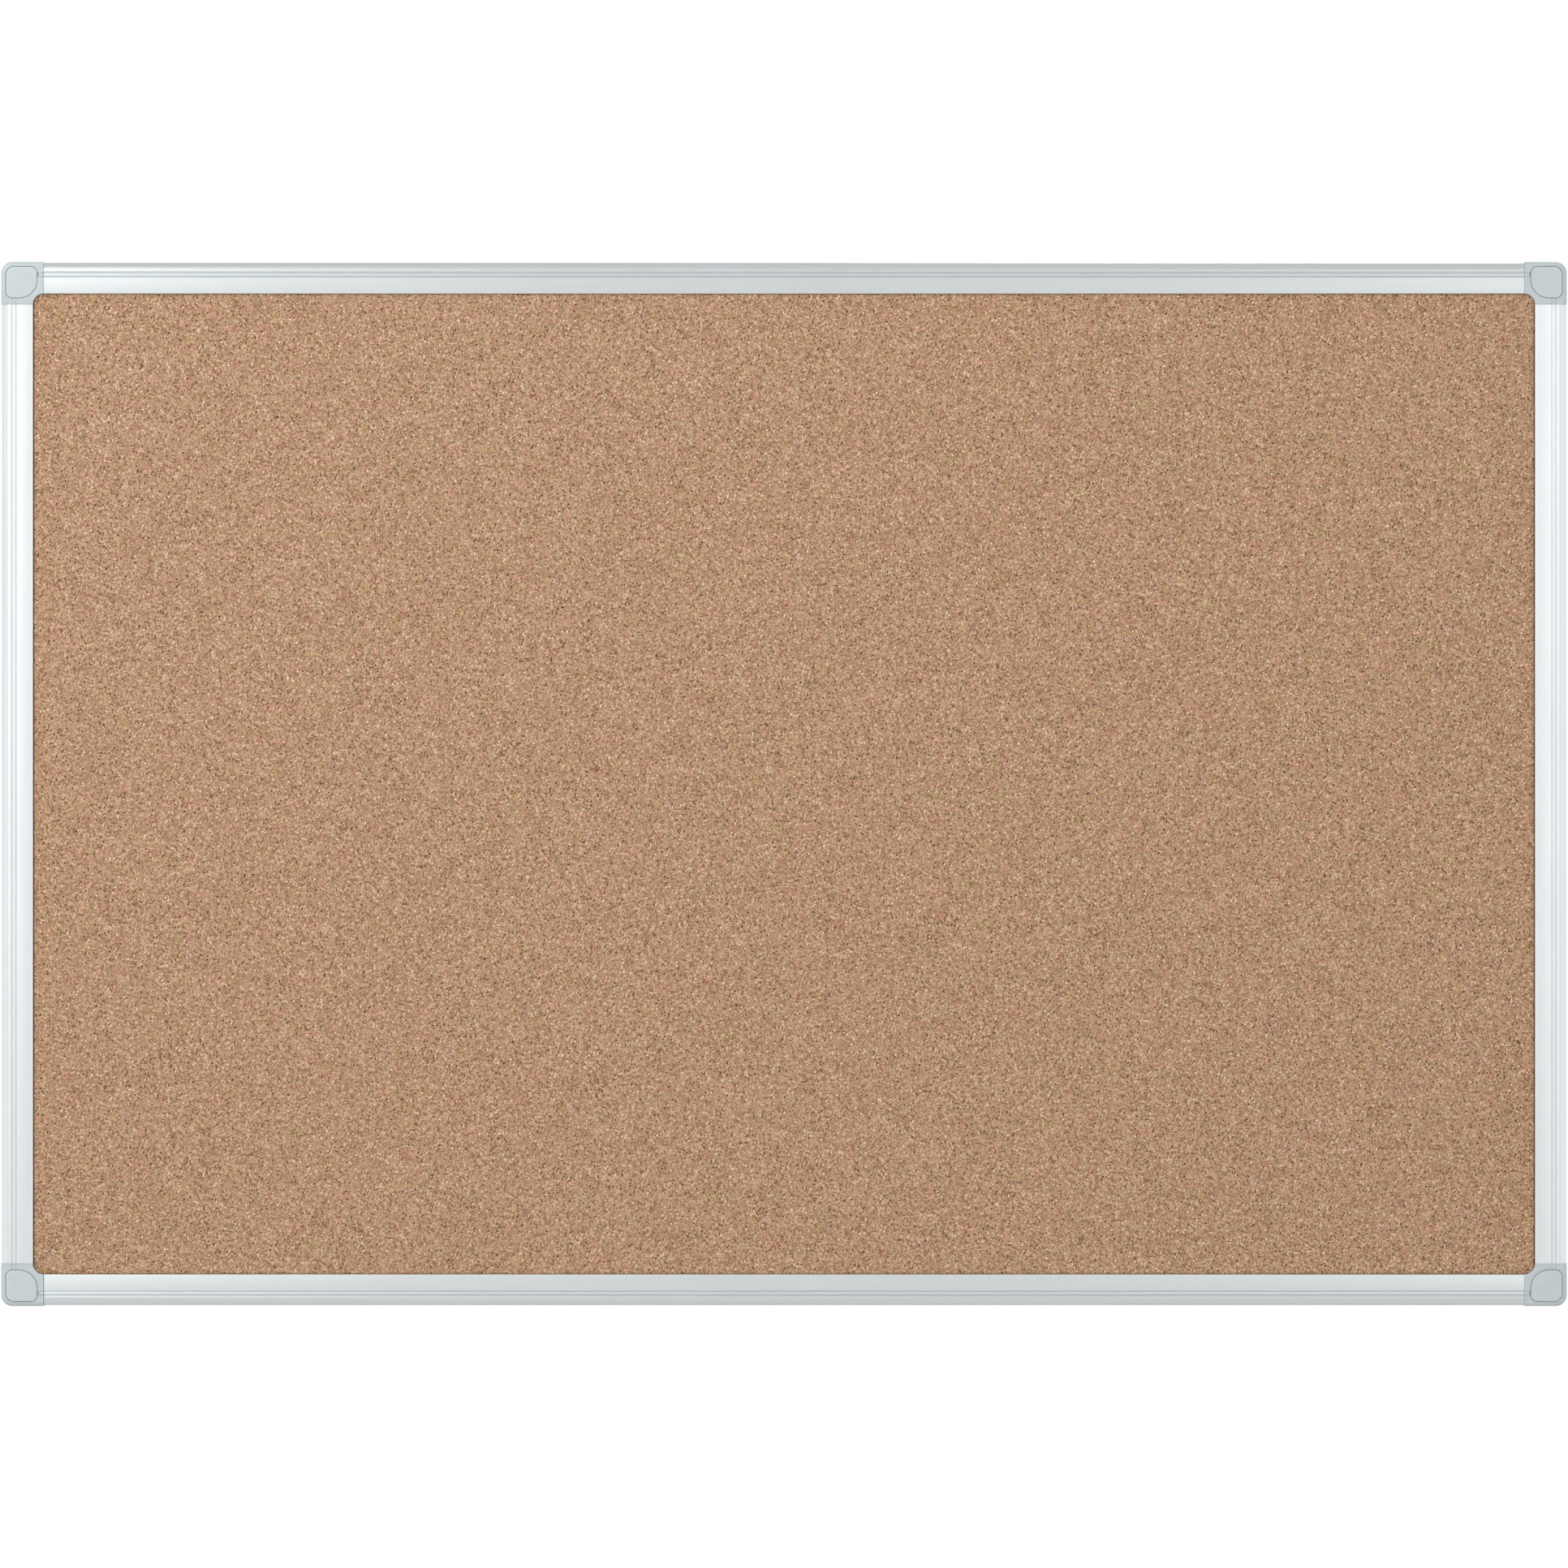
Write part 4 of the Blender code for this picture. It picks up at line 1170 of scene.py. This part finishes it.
def fibreboard():
    """Pressed wood-fibre softboard."""
    s = Shader("softboard", 0.95, 0.0, 0.15)
    strands = s.noise(s.coords((0.25, 1, 1), (0, 25, 0)), 1.6, 4.0, 0.7, 1.2)
    cross = s.noise(s.coords((1, 1, 0.25), (0, 70, 0)), 1.4, 4.0, 0.7, 1.0)
    tone = s.math("MULTIPLY", s.math("ADD", strands, cross), 0.5)
    cloud = s.noise(s.coords(), 0.08, 3.0)
    base = s.mix(s.span(cloud, 0.4, 0.65, 0, 0.3), s.ramp(tone, SOFTBOARD_TONES), SOFTBOARD_CLOUD)
    return s.set(Base_Color=base, Normal=s.bump(tone, 0.7, 0.3 * MM))


def kraft():
    """Brown backing paper, with fibres, faint machine lines and soft cockling."""
    s = Shader("kraft_paper", 0.85, 0.0, 0.3)
    fibres = s.noise(s.coords((0.35, 1, 1), (0, 24, 0)), 1.5, 5.0, 0.75, 1.0)
    cross = s.noise(s.coords((0.35, 1, 1), (0, -38, 0)), 1.3, 5.0, 0.75, 1.0)
    lines = s.noise(s.coords((0.03, 1, 1)), 0.5, 2.0, 0.5)
    cloud = s.noise(s.coords(), 0.02, 4.0, 0.6)
    tone = s.weigh((fibres, 0.46), (cross, 0.46), (lines, 0.08))
    base = s.mix(s.span(cloud, 0.35, 0.65, 0, 0.35), s.ramp(tone, KRAFT_TONES), KRAFT_CLOUD)
    rough = s.span(cloud, 0.3, 0.7, 0.78, 0.92)
    wrinkle = s.bump(s.noise(s.coords(), 0.06, 3.0, 0.5), 0.4, 0.5 * MM)
    rise = s.bump(tone, 0.35, 0.06 * MM, wrinkle)
    return s.set(Base_Color=base, Roughness=rough, Normal=rise)


def zinc():
    """Bright zinc plating with turned marks and a faint blue and yellow bloom."""
    s = Shader("zinc_plate", 0.28, 1.0)
    here = s.coords()
    place = s.add("SeparateXYZ", {0: here})
    across = s.math("POWER", place.outputs[0], 2.0)
    radius = s.math("SQRT", s.math("ADD", across, s.math("POWER", place.outputs[1], 2.0)))
    rings = s.math("SINE", s.math("MULTIPLY", radius, 60.0))
    bloom = s.noise(here, 0.7, 2.0)
    base = s.mix(s.span(bloom, 0.4, 0.6), ZINC_BLUE, ZINC_YELLOW)
    dull = s.noise(here, 4.0, 4.0, 0.7)
    rough = s.span(dull, 0.3, 0.7, 0.2, 0.42)
    marks = s.bump(rings, 0.15, 0.01 * MM)
    return s.set(Base_Color=base, Roughness=rough, Normal=s.bump(dull, 0.1, 0.02 * MM, marks))


def floor_paint():
    """Pale grey with a broad, faint unevenness."""
    s = Shader("studio_floor", 0.7, 0.0, 0.2)
    return s.set(Base_Color=s.mix(s.noise(s.coords(), 0.004, 3.0), *FLOOR_TONES))


MATERIALS = {
    # Two copies of one anodised finish, differing only in how much shade is painted into the fine
    # grooves: less on the upright rails
    "aluminium": aluminium("anodised_aluminium", 0.22),
    "upright": aluminium("anodised_aluminium_upright", 0.12),
    "bracket": moulded(
        "bracket_abs", (0.565, 0.634, 0.642, 1), (0.60, 0.67, 0.678, 1), 0.4, 0.5, 0.12
    ),
    "cover": moulded(
        "cover_abs", (0.60, 0.662, 0.668, 1), (0.635, 0.697, 0.704, 1), 0.38, 0.48, 0.08
    ),
    "cork": cork(),
    "core": fibreboard(),
    "paper": kraft(),
    "zinc": zinc(),
}


# ---------------------------------------------------------------- assembly


def settle(obj, name, body, slot, node, look=None):
    """Names a finished piece and fixes it to the frame in place of a plain node."""
    for collection in list(obj.users_collection):
        collection.objects.unlink(obj)
    BOARD.objects.link(obj)
    obj.name = name
    obj.data.materials.clear()
    obj.data.materials.append(MATERIALS[look or slot])
    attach(obj, body)
    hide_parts(node)


def corner_matrix(signs, turns):
    return (
        Matrix.Translation((signs[0] * HALF_WIDTH, 0, signs[1] * HALF_HEIGHT))
        @ Matrix.Rotation(math.radians(90), 4, "X")
        @ Matrix.Rotation(math.radians(90 * turns), 4, "Z")
    )


def piece(name, mesh, matrix, location):
    obj = bpy.data.objects.new(name, mesh.copy())
    WORK.objects.link(obj)
    obj.matrix_world = matrix @ Matrix.Translation(location)
    return obj


def make_corners():
    brackets = make_bracket_meshes()
    cover = make_cover_mesh()
    screw = make_screw_mesh()
    for name, signs, turns, notch_side in CORNERS:
        matrix = corner_matrix(signs, turns)
        bracket = piece(f"bracket_{name}", brackets[notch_side], matrix, (0, 0, 0))
        settle(bracket, f"bracket_{name}", "board", "bracket", f"corner_bracket_{name}")
        lid = piece(f"cover_{name}", cover, matrix, (WELL_CENTRE, WELL_CENTRE, 0))
        settle(lid, f"cover_{name}", f"cover_{name}", "cover", f"corner_cover_{name}")
        spots = {
            "x": (SCREW_DISTANCE, LEG_CENTRE, SCREW_BACK),
            "y": (LEG_CENTRE, SCREW_DISTANCE, SCREW_BACK),
        }
        for side, spot in spots.items():
            along = "horizontal" if side == notch_side else "vertical"
            fixing = piece(f"screw_{name}_{along}", screw, matrix, spot)
            settle(
                fixing, f"screw_{name}_{along}", "board", "zinc", f"leg_screw_{name}_{along}"
            )


def finish_core():
    """The softboard keeps its plain shape, with its own material."""
    core = frame["nodes"]["softboard_core"]
    core.data.materials.clear()
    core.data.materials.append(MATERIALS["core"])


# ---------------------------------------------------------------- studio


def area_light(name, location, width, height, power):
    data = bpy.data.lights.new(name, "AREA")
    data.shape = "RECTANGLE"
    data.size = width
    data.size_y = height
    data.energy = power
    obj = bpy.data.objects.new(name, data)
    bpy.context.scene.collection.objects.link(obj)
    obj.location = location
    aim = -Vector(location)
    obj.rotation_euler = aim.to_track_quat("-Z", "Y").to_euler()


def make_world():
    """White to the camera; to everything else a soft grey room, brighter at its two sides."""
    world = bpy.data.worlds.new("studio")
    bpy.context.scene.world = world
    world.use_nodes = True
    tree = world.node_tree
    tree.nodes.clear()

    def add(kind):
        return tree.nodes.new("ShaderNode" + kind)

    seen, lit = add("Background"), add("Background")
    seen.inputs[0].default_value = (1, 1, 1, 1)
    split, square, level = add("SeparateXYZ"), add("Math"), add("MapRange")
    square.operation = "POWER"
    square.inputs[1].default_value = 2
    level.inputs[3].default_value, level.inputs[4].default_value = ROOM_LEVELS
    blend = add("MixShader")
    for source, target in (
        (add("TexCoord").outputs["Generated"], split.inputs[0]),
        (split.outputs[0], square.inputs[0]),
        (square.outputs[0], level.inputs[0]),
        (level.outputs[0], lit.inputs[1]),
        (add("LightPath").outputs["Is Camera Ray"], blend.inputs[0]),
        (lit.outputs[0], blend.inputs[1]),
        (seen.outputs[0], blend.inputs[2]),
        (blend.outputs[0], add("OutputWorld").inputs[0]),
    ):
        tree.links.new(source, target)


def make_floor():
    """A pale floor below the board, short enough at the back to stay out of the front view."""
    work = bmesh.new()
    (left, front), (right, back) = FLOOR_LOW, FLOOR_HIGH
    corners = ((left, front), (right, front), (right, back), (left, back))
    work.faces.new([work.verts.new((x, y, FLOOR_LEVEL)) for x, y in corners])
    floor = mesh_object("floor", work)
    floor.data.materials.append(floor_paint())


def make_camera():
    """Head-on, from a long way off, with the board filling the square frame's width."""
    data = bpy.data.cameras.new("camera")
    data.sensor_width = SENSOR_WIDTH
    width = (CAD_BOX[1].x - CAD_BOX[0].x) / PICTURE_SHARE
    data.lens = SENSOR_WIDTH * CAMERA_DISTANCE / width
    data.clip_start = 0.01
    data.clip_end = 50
    camera = bpy.data.objects.new("camera", data)
    bpy.context.scene.collection.objects.link(camera)
    silhouette = FRONT_EDGE_RADIUS - BRACKET_FRONT
    camera.location = (0, silhouette - CAMERA_DISTANCE, 0)
    camera.rotation_euler = (math.radians(90), 0, 0)
    bpy.context.scene.camera = camera


for side, direction, turns in SIDES:
    make_rail(side, direction, turns)
make_corners()
make_cork()
make_backing()
finish_core()
make_world()
make_floor()
make_camera()
for light in LIGHTS:
    area_light(*light)
bpy.context.scene.view_settings.view_transform = "Standard"
for item in list(WORK.objects):
    if item.name != "floor":
        bpy.data.objects.remove(item)
